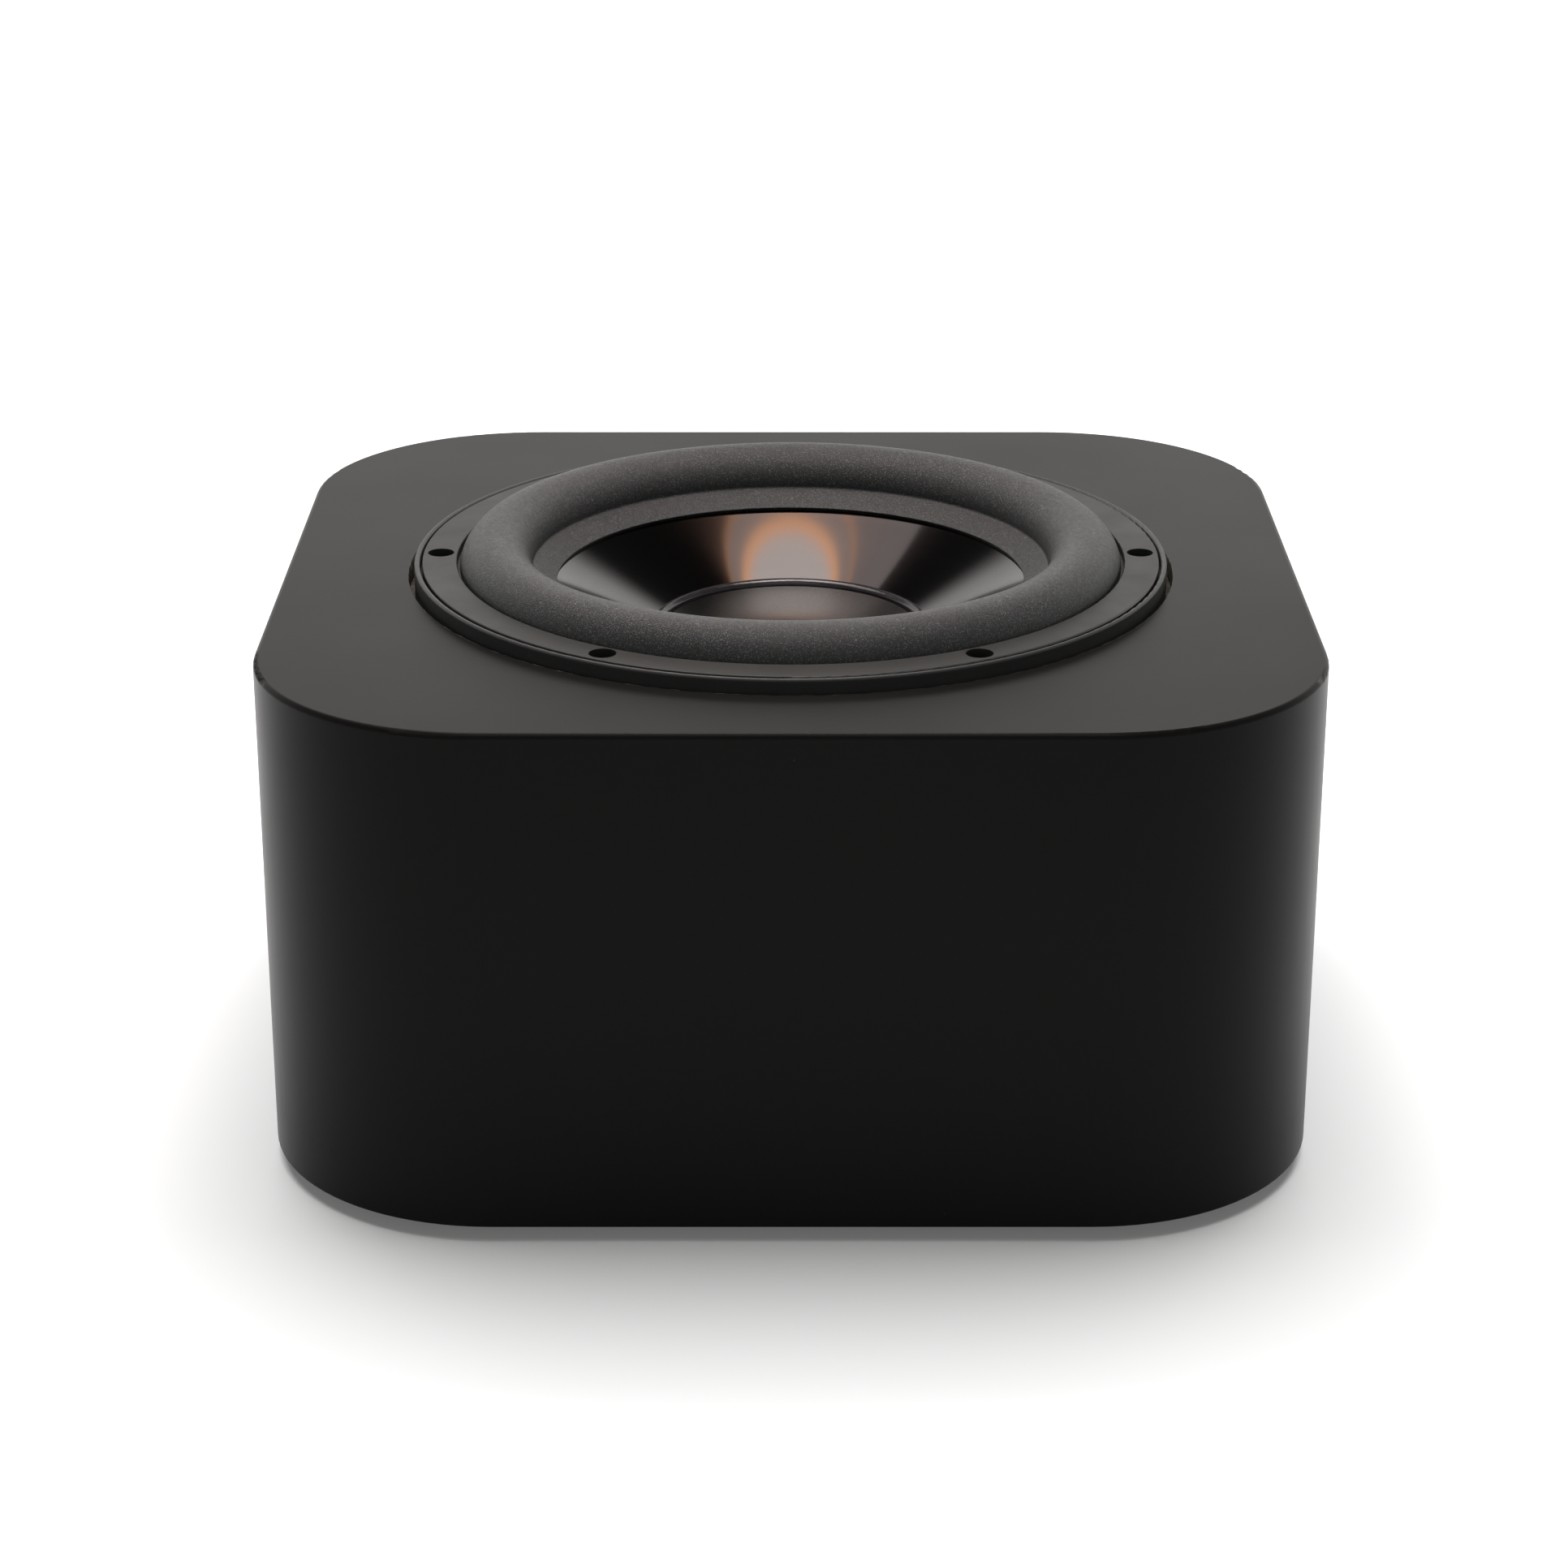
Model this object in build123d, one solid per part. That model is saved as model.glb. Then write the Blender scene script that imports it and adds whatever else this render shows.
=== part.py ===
from build123d import *

import math
import os

# An active subwoofer: a sealed lacquered cabinet with one long-throw driver that fires upwards,
# and an amplifier set into a pocket in the rear wall.
# Millimetres. X is the width, -Y is the front, +Z is up. The origin is on the floor, under the
# middle of the cabinet, which is also the driver's axis.

# Cabinet. Cutters, and stretches that join into another, run past a face by the overshoot.
cabinet_width = 355.0
cabinet_depth = 340.0
cabinet_height = 173.0
corner_radius = 79.0
wall_thickness = 18.0
baffle_thickness = 22.0
floor_thickness = 18.0
top_edge_rounding = 1.8
bottom_edge_rounding = 1.0
overshoot = 1.0

# Feet
foot_radius = 19.0
foot_height = 5.0
foot_inset = 62.0
foot_edge_rounding = 1.0
foot_screw_radius = 2.0
foot_screw_head_radius = 4.5
foot_screw_length = 16.0
foot_screw_recess = 0.5
foot_cross_length = 6.0
foot_cross_width = 1.0
foot_cross_depth = 0.8

# Driver frame and its fit in the baffle
flange_radius = 132.2
flange_thickness = 6.5
rebate_clearance = 2.2
gasket_thickness = 1.0
pilot_clearance = 1.5
flange_width = 19.7
skirt_thickness = 3.0
rim_rounding_share = 0.45
skirt_height = 6.0
rim_width = 2.0
rim_groove = 0.8
clamp_ring_thickness = 4.6
clamp_ring_width = 12.1
spoke_count = 6
spoke_width = 16.0
spoke_thickness = 7.0
landing_thickness = 4.0
spoke_setback = 0.5
spoke_clearance = 1.0
throat_trim = 0.5
back_ring_margin = 3.0
bond_clearance = 0.2
clamp_edge_rounding = 0.5
back_ring_thickness = 5.0

# Screws that hold the driver
driver_screw_count = 6
driver_screw_inset = 9.0
driver_screw_radius = 2.5
driver_screw_head_radius = 4.2
driver_screw_head_height = 5.0
driver_screw_length = 18.0
hex_socket_radius = 2.3
hex_socket_depth = 2.6
head_clearance = 0.4
counterbore_depth = 3.8
insert_radius = 3.5
insert_length = 10.0
shank_clearance = 0.25
screw_edge_rounding = 0.4
socket_sides = 6

# Surround
surround_thickness = 1.6
roll_radius = 12.6
roll_gap = 1.1
bond_width = 5.3
landing_drop = 1.1
landing_slope_width = 8.5
landing_slope_drop = 5.0
surround_foot_thickness = 1.3

# Cone, cap and voice coil
cone_thickness = 1.0
cone_depth = 16.7
neck_bead_width = 4.7
neck_bead_height = 2.4
neck_bead_inner_share = 0.7
neck_overhang = 7.3
cap_depth = 14.2
cap_lift = 1.1
cap_thickness = 0.8
cap_clearance = 0.3
coil_former_radius = 38.1
former_thickness = 0.6
coil_thickness = 2.0
coil_height = 32.0
former_overhang = 1.5
former_sink = 0.22

# Spider
spider_depth = 48.0
spider_span = 38.0
spider_thickness = 0.8
spider_wave = 2.4
spider_wave_count = 8
spider_flat = 6.0
spider_collar = 3.0

# Motor
motor_depth = 70.0
top_plate_thickness = 8.0
coil_gap = 1.1
pole_clearance = 0.7
pole_rise = 4.0
magnet_thickness = 14.0
magnet_count = 2
magnet_inner_gap = 15.9
magnet_width = 22.0
magnet_chamfer = 0.8
plate_setback = 4.0
back_plate_thickness = 10.0
vent_radius = 12.0
shorting_ring_gap = 3.4
shorting_ring_width = 8.5
shorting_ring_height = 20.0
boot_thickness = 2.5
boot_clearance = 0.5
boot_mouth_margin = 4.0
motor_screw_count = 6
motor_screw_radius = 2.5
motor_screw_head_radius = 4.2
motor_screw_head_height = 3.2
motor_screw_offset = 5.0
motor_socket_floor = 1.2

# Driver terminals and wires. A bend takes up to this share of its shorter run.
bend_share = 0.45
terminal_angle = 60.0
terminal_width = 26.0
terminal_reach = 8.0
terminal_height = 10.0
terminal_root = 4.0
terminal_rounding = 1.0
tab_spread = 6.5
tab_width = 6.3
tab_thickness = 0.8
tab_length = 8.0
tab_rise = 4.0
wire_radius = 1.5
lead_radius = 0.9
lead_end_margin = 4.0
lead_rise = 12.0
lead_crest = 17.0
lead_crest_inset = 14.0
lead_end_rise = 10.0
wire_lap = 1.0

# Amplifier pocket
plate_width = 168.0
plate_height = 98.0
plate_thickness = 3.0
plate_corner = 6.0
plate_clearance = 1.0
plate_edge_chamfer = 0.5
amp_centre_height = 86.0
frame_margin = 12.0
ledge_width = 12.0
amp_frame_thickness = 12.0
amp_gasket_thickness = 1.5
amp_screw_radius = 2.0
amp_screw_head_radius = 3.8
amp_screw_head_height = 2.2
amp_screw_length = 12.0
amp_screw_rounding = 1.2
amp_cross_length = 4.0
amp_cross_width = 0.9
amp_cross_depth = 1.4
housing_depth = 50.0
housing_wall = 1.2
housing_gap_x = 3.0
housing_gap_z = 2.0

# Amplifier inside
board_thickness = 1.6
board_setback = 24.0
board_margin = 1.0
standoff_radius = 2.5
standoff_gap = 0.8
transformer_radius = 22.0
transformer_height = 17.0
transformer_rounding = 5.0
transformer_hole_radius = 7.7
component_gap = 3.0
capacitor_radius = 8.0
capacitor_height = 18.0
capacitor_rounding = 0.8
heatsink_width = 44.0
heatsink_height = 52.0
heatsink_base = 4.0
heatsink_depth = 16.0
heatsink_gap = 4.0
fin_count = 6
fin_thickness = 2.0

# Controls: places are measured from the middle of the plate, X then Z
level_place = (6.0, 18.0)
crossover_place = (36.0, 18.0)
phase_place = (6.0, -18.0)
mode_place = (36.0, -18.0)
rocker_place = (-48.0, 23.0)
inlet_place = (-48.0, -15.0)
led_place = (-22.0, 23.0)
phono_places = ((60.0, 15.0), (60.0, -12.0))

knob_radius = 8.0
knob_height = 11.5
knob_gap = 0.6
knob_hollow_radius = 6.0
knob_hollow_depth = 4.0
knob_rounding = 0.8
pointer_start = 2.0
pointer_depth = 0.6
pointer_width = 1.2
shaft_radius = 3.0
shaft_clearance = 0.05
bush_radius = 3.8
bush_rise = 3.4
pot_radius = 8.0
pot_depth = 9.0
pot_back_wall = 1.0
shaft_end_gap = 1.0
knob_grip = 5.5

slider_size = 4.0
slider_rise = 3.0
slider_base_length = 7.0
slider_base_thickness = 1.6
slider_clearance = 0.3
switch_wall = 1.4
switch_front_wall = 1.0
switch_depth = 7.0
switch_height = 9.0
phase_travel = 4.0
mode_travel = 6.0

rocker_width = 11.0
rocker_half_height = 8.4
rocker_end_rise = 5.0
rocker_dip = 1.6
rocker_tilt = 8.0
rocker_side_clearance = 0.4
rocker_end_clearance = 1.1
rocker_frame_wall = 2.0
rocker_frame_rise = 2.0
rocker_frame_depth = 14.0
rocker_frame_rim = 1.2
rocker_frame_corner = 1.5
rocker_edge_level = 1.0
rocker_edge_inset = 0.4
rocker_keel_depth = 5.0
rocker_keel_half = 3.0
rocker_pin_radius = 1.2
rocker_pin_length = 1.5
rocker_pin_clearance = 0.06
rocker_pin_end_play = 0.3

inlet_width = 27.0
inlet_height = 34.0
inlet_flange = 2.5
inlet_rise = 2.5
inlet_depth = 20.0
inlet_corner = 2.5
socket_width = 24.0
socket_height = 16.4
socket_depth = 16.0
socket_chamfer = 4.0
socket_offset = -7.0
blade_width = 2.0
blade_height = 4.0
blade_spacing = 7.0
blade_setback = 3.0
blade_stagger = 2.0
blade_tail = 2.0
drawer_width = 21.0
drawer_height = 8.2
drawer_depth = 15.0
drawer_offset = 9.4
drawer_clearance = 0.35
drawer_lip = 0.9
drawer_lip_rise = 1.6
drawer_face_gap = 0.2
trough_floor = 1.6
fuse_end_play = 0.4
fuse_side_play = 0.2
fuse_radius = 2.5
fuse_length = 18.0

phono_shell_radius = 4.15
phono_shank_radius = 3.95
phono_core_radius = 3.4
phono_shell_rise = 9.5
phono_shell_depth = 8.0
phono_core_rise = 8.5
phono_bore_radius = 1.6
phono_bore_depth = 8.0
phono_ring_radius = 6.2
phono_ring_rise = 2.4
phono_ring_rounding = 0.5
led_radius = 1.5
led_rise = 1.2
led_rounding = 0.9
led_depth = 5.0
led_collar = 0.8
led_collar_depth = 1.5
hole_clearance = 0.15

# Brace and lining
brace_thickness = 15.0
brace_height = 55.0
brace_gap = 6.0
lining_thickness = 12.0
lining_clearance = 2.0

# Levels and radii that follow from the sizes above
wall_base = foot_height + floor_thickness
cabinet_top = foot_height + cabinet_height
wall_top = cabinet_top - baffle_thickness
rear_face = cabinet_depth / 2
rear_inner = rear_face - wall_thickness
inner_width = cabinet_width - 2 * wall_thickness
inner_depth = cabinet_depth - 2 * wall_thickness
inner_corner = corner_radius - wall_thickness

rebate_radius = flange_radius + rebate_clearance
seat = cabinet_top
flange_underside = seat - flange_thickness
rebate_floor = flange_underside - gasket_thickness
ring_top = seat + clamp_ring_thickness
flange_inner = flange_radius - flange_width
skirt_outer = flange_inner + skirt_thickness
cutout_radius = skirt_outer + pilot_clearance
screw_circle = flange_radius - driver_screw_inset
clamp_outer = flange_radius - rim_width - rim_groove
clamp_inner = clamp_outer - clamp_ring_width

roll_centre = clamp_inner - roll_gap - roll_radius
roll_level = seat + surround_thickness
bond_outer = roll_centre + roll_radius + bond_width
landing_outer = roll_centre - roll_radius
landing_top = roll_level - landing_drop
landing_inner = landing_outer - landing_slope_width
landing_low = landing_top - landing_slope_drop
foot_angle = math.atan2(landing_slope_drop, landing_slope_width)
foot_under_radius = landing_inner + surround_foot_thickness * math.sin(foot_angle)
foot_under_level = landing_low - surround_foot_thickness * math.cos(foot_angle)
foot_under_outer = landing_outer + surround_thickness
foot_under_top = foot_under_level + (foot_under_outer - foot_under_radius) * math.tan(foot_angle)

neck_inner = coil_former_radius + neck_overhang
neck_outer = neck_inner + neck_bead_width
neck_level = foot_under_level - cone_depth
cone_slope = cone_depth / (foot_under_radius - neck_outer)
former_top = neck_level - (neck_outer - coil_former_radius) * cone_slope

spider_level = seat - spider_depth
spider_outer = coil_former_radius + spider_span
spoke_inner = spider_outer + spoke_clearance
spoke_outer = spoke_inner + spoke_thickness
plate_top = seat - motor_depth
plate_under = plate_top - top_plate_thickness
magnet_base = plate_under - magnet_count * magnet_thickness
yoke_base = magnet_base - back_plate_thickness
coil_outer = coil_former_radius + coil_thickness
coil_middle = plate_top - top_plate_thickness / 2
gap_radius = coil_outer + coil_gap
pole_radius = coil_former_radius - former_thickness - pole_clearance
magnet_inner = coil_former_radius + magnet_inner_gap
magnet_outer = magnet_inner + magnet_width
plate_radius = magnet_outer - plate_setback
boot_inner = magnet_outer + boot_clearance
boot_outer = boot_inner + boot_thickness
motor_screw_circle = (gap_radius + plate_radius) / 2 + motor_screw_offset

plate_inner_face = rear_inner + amp_gasket_thickness
plate_face = plate_inner_face + plate_thickness
pocket_width = plate_width + 2 * plate_clearance
pocket_height = plate_height + 2 * plate_clearance
window_width = pocket_width - 2 * ledge_width
window_height = pocket_height - 2 * ledge_width
housing_width = window_width - 2 * housing_gap_x
housing_height = window_height - 2 * housing_gap_z
housing_back = plate_inner_face - housing_depth
board_front = plate_inner_face - board_setback
board_back = board_front - board_thickness
terminal_radius = spoke_outer + terminal_reach / 2
tab_top = spider_level - terminal_height
wire_level = amp_centre_height


def ring(outer, inner, low, high):
    """A flat ring or tube about the driver's axis."""
    height = high - low
    solid = Cylinder(outer, height, align=(Align.CENTER, Align.CENTER, Align.MIN))
    hole = Cylinder(inner, height, align=(Align.CENTER, Align.CENTER, Align.MIN))
    return Pos(0, 0, low) * (solid - hole)


def post(radius, x, y, low, high):
    """A round bar that stands along Z."""
    bar = Cylinder(radius, high - low, align=(Align.CENTER, Align.CENTER, Align.MIN))
    return Pos(x, y, low) * bar


def on_circle(radius, count, start=0.0):
    """Places evenly spaced around the driver's axis."""
    places = []
    for index in range(count):
        angle = math.radians(start + 360.0 * index / count)
        places.append((radius * math.cos(angle), radius * math.sin(angle)))
    return places


def turned(outline):
    """A closed outline of radius and height, turned about the driver's axis."""
    return revolve(make_face(outline), Axis.Z)


def profile(*points):
    """A run of straight lines through (radius, height) points."""
    return Polyline(*[(radius, 0, height) for radius, height in points])


def arc(start, middle, end):
    """An arc through three (radius, height) points."""
    return ThreePointArc(*[(radius, 0, height) for radius, height in (start, middle, end)])


def upright(outline, place, inner, outer):
    """An outline in the amplifier plate's plane, pulled out along Y between two faces."""
    x, z = place
    return Pos(x, outer, amp_centre_height + z) * Rot(90, 0, 0) * extrude(outline, outer - inner)


def footprint(width, depth, radius, low, high):
    """A block with rounded upright corners."""
    return Pos(0, 0, low) * extrude(RectangleRounded(width, depth, radius), high - low)


def group(solids):
    """Separate solids that share one node."""
    return Compound(children=list(solids))


def save(name, part):
    """Write one node."""
    export_step(part, os.path.join("parts", name + ".step"))


# ---------------------------------------------------------------- cabinet

def cabinet_wall():
    outer = footprint(cabinet_width, cabinet_depth, corner_radius, wall_base, wall_top)
    inner = footprint(inner_width, inner_depth, inner_corner, wall_base, wall_top)
    pocket = RectangleRounded(pocket_width, pocket_height, plate_corner + plate_clearance)
    cutter = upright(pocket, (0, 0), rear_inner - overshoot, rear_face + overshoot)
    return outer - inner - cutter


def top_baffle():
    board = footprint(cabinet_width, cabinet_depth, corner_radius, wall_top, cabinet_top)
    board = fillet(board.faces().sort_by(Axis.Z)[-1].edges(), top_edge_rounding)
    board -= post(rebate_radius, 0, 0, rebate_floor, cabinet_top + overshoot)
    board -= post(cutout_radius, 0, 0, wall_top - overshoot, cabinet_top + overshoot)
    for x, y in on_circle(screw_circle, driver_screw_count):
        board -= post(insert_radius, x, y, rebate_floor - insert_length, rebate_floor + overshoot)
    return board


def bottom_panel():
    board = footprint(cabinet_width, cabinet_depth, corner_radius, foot_height, wall_base)
    board = fillet(board.faces().sort_by(Axis.Z)[0].edges(), bottom_edge_rounding)
    for x, y in foot_places():
        board -= post(foot_screw_radius, x, y, foot_height - overshoot, screw_tip())
    return board


def foot_places():
    x = cabinet_width / 2 - foot_inset
    y = cabinet_depth / 2 - foot_inset
    return [(x, y), (-x, y), (-x, -y), (x, -y)]


def screw_tip():
    return foot_height / 2 + foot_screw_length


def feet():
    pads = []
    for x, y in foot_places():
        pad = post(foot_radius, x, y, 0, foot_height)
        pad = fillet(pad.edges().group_by(Axis.Z)[0], foot_edge_rounding)
        pad -= post(foot_screw_head_radius + head_clearance, x, y, -overshoot, foot_height / 2)
        pad -= post(foot_screw_radius, x, y, 0, foot_height + overshoot)
        pads.append(pad)
    return group(pads)


def foot_screws():
    screws = []
    head_high = foot_height / 2
    for x, y in foot_places():
        head = post(foot_screw_head_radius, x, y, foot_screw_recess, head_high)
        shank = post(foot_screw_radius, x, y, head_high, screw_tip())
        slot = Pos(x, y, foot_screw_recess) * Box(foot_cross_length, foot_cross_width, 2 * foot_cross_depth)
        cross = Pos(x, y, foot_screw_recess) * Box(foot_cross_width, foot_cross_length, 2 * foot_cross_depth)
        screws.append(head + shank - slot - cross)
    return group(screws)


def threaded_inserts():
    inserts = []
    for x, y in on_circle(screw_circle, driver_screw_count):
        outer = post(insert_radius, x, y, rebate_floor - insert_length, rebate_floor)
        bore = post(driver_screw_radius, x, y, rebate_floor - insert_length, rebate_floor)
        inserts.append(outer - bore)
    return group(inserts)


def amp_frame():
    width = pocket_width + 2 * frame_margin
    height = pocket_height + 2 * frame_margin
    back = rear_inner - amp_frame_thickness
    frame = upright(Rectangle(width, height), (0, 0), back, rear_inner)
    frame -= upright(Rectangle(window_width, window_height), (0, 0), back - overshoot, rear_inner + overshoot)
    for place in amp_screw_places():
        tip = plate_face - amp_screw_length
        frame -= upright(Circle(amp_screw_radius), place, tip, rear_inner + overshoot)
    return frame


def amp_zone(gap, low, high):
    """The space that the amplifier and its frame take from what lies inside the cabinet."""
    width = pocket_width + 2 * (frame_margin + gap)
    depth = rear_inner - housing_back + gap
    block = Box(width, depth + overshoot, high - low, align=(Align.CENTER, Align.MAX, Align.MIN))
    return Pos(0, rear_inner + overshoot, low) * block


def ring_brace():
    low = wall_base + brace_height - brace_thickness
    high = wall_base + brace_height
    shelf = footprint(inner_width, inner_depth, inner_corner, low, high)
    shelf -= post(boot_outer + brace_gap, 0, 0, low - overshoot, high + overshoot)
    return shelf - amp_zone(brace_gap, low - overshoot, high + overshoot)


def damping_lining():
    brace_low = wall_base + brace_height - brace_thickness
    brace_high = wall_base + brace_height
    pieces = []
    for low, high in ((wall_base, brace_low), (brace_high, wall_top)):
        outer = footprint(inner_width, inner_depth, inner_corner, low, high)
        width = inner_width - 2 * lining_thickness
        depth = inner_depth - 2 * lining_thickness
        inner = footprint(width, depth, inner_corner - lining_thickness, low - overshoot, high + overshoot)
        pieces.append(outer - inner - amp_zone(lining_clearance, low - overshoot, high + overshoot))
    return group(pieces)


# ---------------------------------------------------------------- driver, fixed parts

def driver_gasket():
    gasket = ring(flange_radius, cutout_radius, rebate_floor, flange_underside)
    for x, y in on_circle(screw_circle, driver_screw_count):
        gasket -= post(driver_screw_radius + shank_clearance, x, y, rebate_floor, flange_underside)
    return gasket


def spoke():
    """One arm of the frame, from the flange down to the motor, in the XZ plane."""
    skirt_low = flange_underside - skirt_height
    outline = profile(
        (skirt_outer - spoke_setback, flange_underside + overshoot),
        (skirt_outer - spoke_setback, skirt_low),
        (spoke_outer - spoke_setback, spider_level),
        (spoke_outer - spoke_setback, plate_top),
        (spoke_inner, plate_top),
        (spoke_inner, spider_level),
        (skirt_outer - spoke_thickness, skirt_low),
        (skirt_outer - spoke_thickness, flange_underside + overshoot),
        (skirt_outer - spoke_setback, flange_underside + overshoot),
    )
    return extrude(make_face(outline), spoke_width / 2, both=True)


def basket():
    flange = turned(profile(
        (flange_inner, flange_underside),
        (flange_radius, flange_underside),
        (flange_radius, ring_top),
        (flange_radius - rim_width, ring_top),
        (flange_radius - rim_width, seat),
        (flange_inner, seat),
        (flange_inner, flange_underside),
    ))
    flange = fillet(flange.edges().group_by(Axis.Z)[-1], rim_width * rim_rounding_share)
    skirt_bottom = flange_underside - skirt_height
    frame = flange + ring(skirt_outer, flange_inner, skirt_bottom, flange_underside + overshoot)
    landing_inner_radius = spider_outer - spider_flat
    frame += ring(spoke_outer, landing_inner_radius, spider_level - landing_thickness, spider_level)
    back_inner = motor_screw_circle - motor_screw_head_radius - back_ring_margin
    frame += ring(spoke_outer, back_inner, plate_top, plate_top + back_ring_thickness)
    half_pitch = 180 / spoke_count
    for index in range(spoke_count):
        frame += Rot(0, 0, half_pitch * (2 * index + 1)) * spoke()
    frame -= ring(flange_inner, flange_inner - flange_width, flange_underside - throat_trim, seat + overshoot)
    shank_hole = driver_screw_radius + shank_clearance
    head_hole = driver_screw_head_radius + head_clearance
    for x, y in on_circle(screw_circle, driver_screw_count):
        frame -= post(shank_hole, x, y, flange_underside - overshoot, seat + overshoot)
        frame -= post(head_hole, x, y, seat - counterbore_depth, seat + overshoot)
    bed = plate_top + back_ring_thickness
    for x, y in on_circle(motor_screw_circle, motor_screw_count):
        frame -= post(motor_screw_radius, x, y, plate_top - overshoot, bed + overshoot)
    return frame


def clamp_ring():
    step = bond_outer + bond_clearance
    body = turned(profile(
        (clamp_inner, roll_level),
        (step, roll_level),
        (step, seat),
        (clamp_outer, seat),
        (clamp_outer, ring_top),
        (clamp_inner, ring_top),
        (clamp_inner, roll_level),
    ))
    body = fillet(body.edges().group_by(Axis.Z)[-1], clamp_edge_rounding)
    for x, y in on_circle(screw_circle, driver_screw_count):
        body -= post(driver_screw_head_radius + head_clearance, x, y, seat - overshoot, ring_top + overshoot)
    return body


def driver_screws():
    screws = []
    head_low = seat - counterbore_depth
    head_high = head_low + driver_screw_head_height
    for x, y in on_circle(screw_circle, driver_screw_count):
        head = post(driver_screw_head_radius, x, y, head_low, head_high)
        head = fillet(head.edges().group_by(Axis.Z)[-1], screw_edge_rounding)
        hexagon = RegularPolygon(hex_socket_radius, socket_sides)
        socket = Pos(x, y, head_high - hex_socket_depth) * extrude(hexagon, hex_socket_depth + overshoot)
        shank = post(driver_screw_radius, x, y, head_high - driver_screw_length, head_low)
        screws.append(head + shank - socket)
    return group(screws)


def top_plate():
    plate = ring(plate_radius, gap_radius, plate_under, plate_top)
    for x, y in on_circle(motor_screw_circle, motor_screw_count):
        plate -= post(motor_screw_radius, x, y, plate_under - overshoot, plate_top + overshoot)
    return plate


def magnets():
    slabs = []
    for index in range(magnet_count):
        low = magnet_base + index * magnet_thickness
        slab = ring(magnet_outer, magnet_inner, low, low + magnet_thickness)
        slabs.append(chamfer(slab.edges().filter_by(GeomType.CIRCLE), magnet_chamfer))
    return group(slabs)


def yoke():
    disc = post(plate_radius, 0, 0, yoke_base, magnet_base)
    pole = post(pole_radius, 0, 0, yoke_base, plate_top + pole_rise)
    vent = post(vent_radius, 0, 0, yoke_base - overshoot, plate_top + pole_rise + overshoot)
    return disc + pole - vent


def shorting_ring():
    inner = coil_outer + shorting_ring_gap
    return ring(inner + shorting_ring_width, inner, magnet_base, magnet_base + shorting_ring_height)


def magnet_boot():
    mouth = vent_radius + boot_mouth_margin
    return turned(profile(
        (mouth, yoke_base - boot_thickness),
        (boot_outer, yoke_base - boot_thickness),
        (boot_outer, plate_under),
        (boot_inner, plate_under),
        (boot_inner, yoke_base),
        (mouth, yoke_base),
        (mouth, yoke_base - boot_thickness),
    ))


def motor_screws():
    screws = []
    bed = plate_top + back_ring_thickness
    for x, y in on_circle(motor_screw_circle, motor_screw_count):
        head = post(motor_screw_head_radius, x, y, bed, bed + motor_screw_head_height)
        hexagon = RegularPolygon(hex_socket_radius, socket_sides)
        socket = Pos(x, y, bed + motor_socket_floor) * extrude(hexagon, motor_screw_head_height)
        shank = post(motor_screw_radius, x, y, plate_under, bed)
        screws.append(head + shank - socket)
    return group(screws)


def terminal_block():
    middle = spoke_outer + (terminal_reach - terminal_root) / 2
    block = Box(terminal_reach + terminal_root, terminal_width, terminal_height)
    block = fillet(block.edges().filter_by(Axis.Z), terminal_rounding)
    block = Pos(middle, 0, spider_level - terminal_height / 2) * block
    block -= post(spoke_outer, 0, 0, spider_level - terminal_height - overshoot, spider_level + overshoot)
    for side in (-tab_spread, tab_spread):
        slot = Box(tab_thickness, tab_width, terminal_height + 2 * overshoot)
        block -= Pos(terminal_radius, side, spider_level - terminal_height / 2) * slot
    return Rot(0, 0, terminal_angle) * block


def terminal_tabs():
    tabs = []
    low = tab_top - tab_length
    high = spider_level + tab_rise
    for side in (-tab_spread, tab_spread):
        blade = Box(tab_thickness, tab_width, high - low, align=(Align.CENTER, Align.CENTER, Align.MIN))
        tabs.append(Rot(0, 0, terminal_angle) * Pos(terminal_radius, side, low) * blade)
    return group(tabs)


def round_lead(points, radii, radius):
    """A round lead along straight runs joined by arcs."""
    path = FilletPolyline(*points, radius=radii)
    start = Plane(origin=path @ 0, z_dir=path % 0)
    return sweep(start * Circle(radius), path)


def bend_radius(before, corner, after):
    """The largest arc that two runs allow: a share of the shorter, over the tangent of half the turn."""
    first = Vector(*corner) - Vector(*before)
    second = Vector(*after) - Vector(*corner)
    shorter = min(first.length, second.length)
    return bend_share * shorter / math.tan(math.radians(first.get_angle(second)) / 2)


def route_radii(points):
    return [bend_radius(*points[index:index + 3]) for index in range(len(points) - 2)]


def tinsel_leads():
    """Two flexible leads from the terminals, over the spider, to the back of the cone."""
    leads = []
    lead_end = neck_outer + lead_end_margin
    near_side = math.hypot(lead_end, tab_spread) - lead_radius
    cone_drop = cone_thickness * math.hypot(1.0, cone_slope)
    cone_under = neck_level + (near_side - neck_outer) * cone_slope - cone_drop
    reach = terminal_radius - tab_thickness / 2 - lead_radius
    for side in (-tab_spread, tab_spread):
        points = [
            (reach, side, spider_level + lead_radius),
            (reach, side, spider_level + lead_rise),
            (reach - lead_crest_inset, side, spider_level + lead_crest),
            (lead_end, side, spider_level + lead_end_rise),
            (lead_end, side, cone_under),
        ]
        lead = round_lead(points, route_radii(points), lead_radius)
        leads.append(Rot(0, 0, terminal_angle) * lead)
    return group(leads)


def speaker_wires():
    """Two wires from the driver's tabs down and back into the amplifier's housing."""
    wires = []
    for side in (-tab_spread, tab_spread):
        angle = math.radians(terminal_angle)
        radius = terminal_radius + tab_thickness / 2 + wire_radius
        x = radius * math.cos(angle) - side * math.sin(angle)
        y = radius * math.sin(angle) + side * math.cos(angle)
        start = (x, y, tab_top - wire_lap)
        corner = (x, y, wire_level)
        end = (x, housing_back, wire_level)
        points = [start, corner, end]
        wires.append(round_lead(points, route_radii(points), wire_radius))
    return group(wires)


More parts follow.
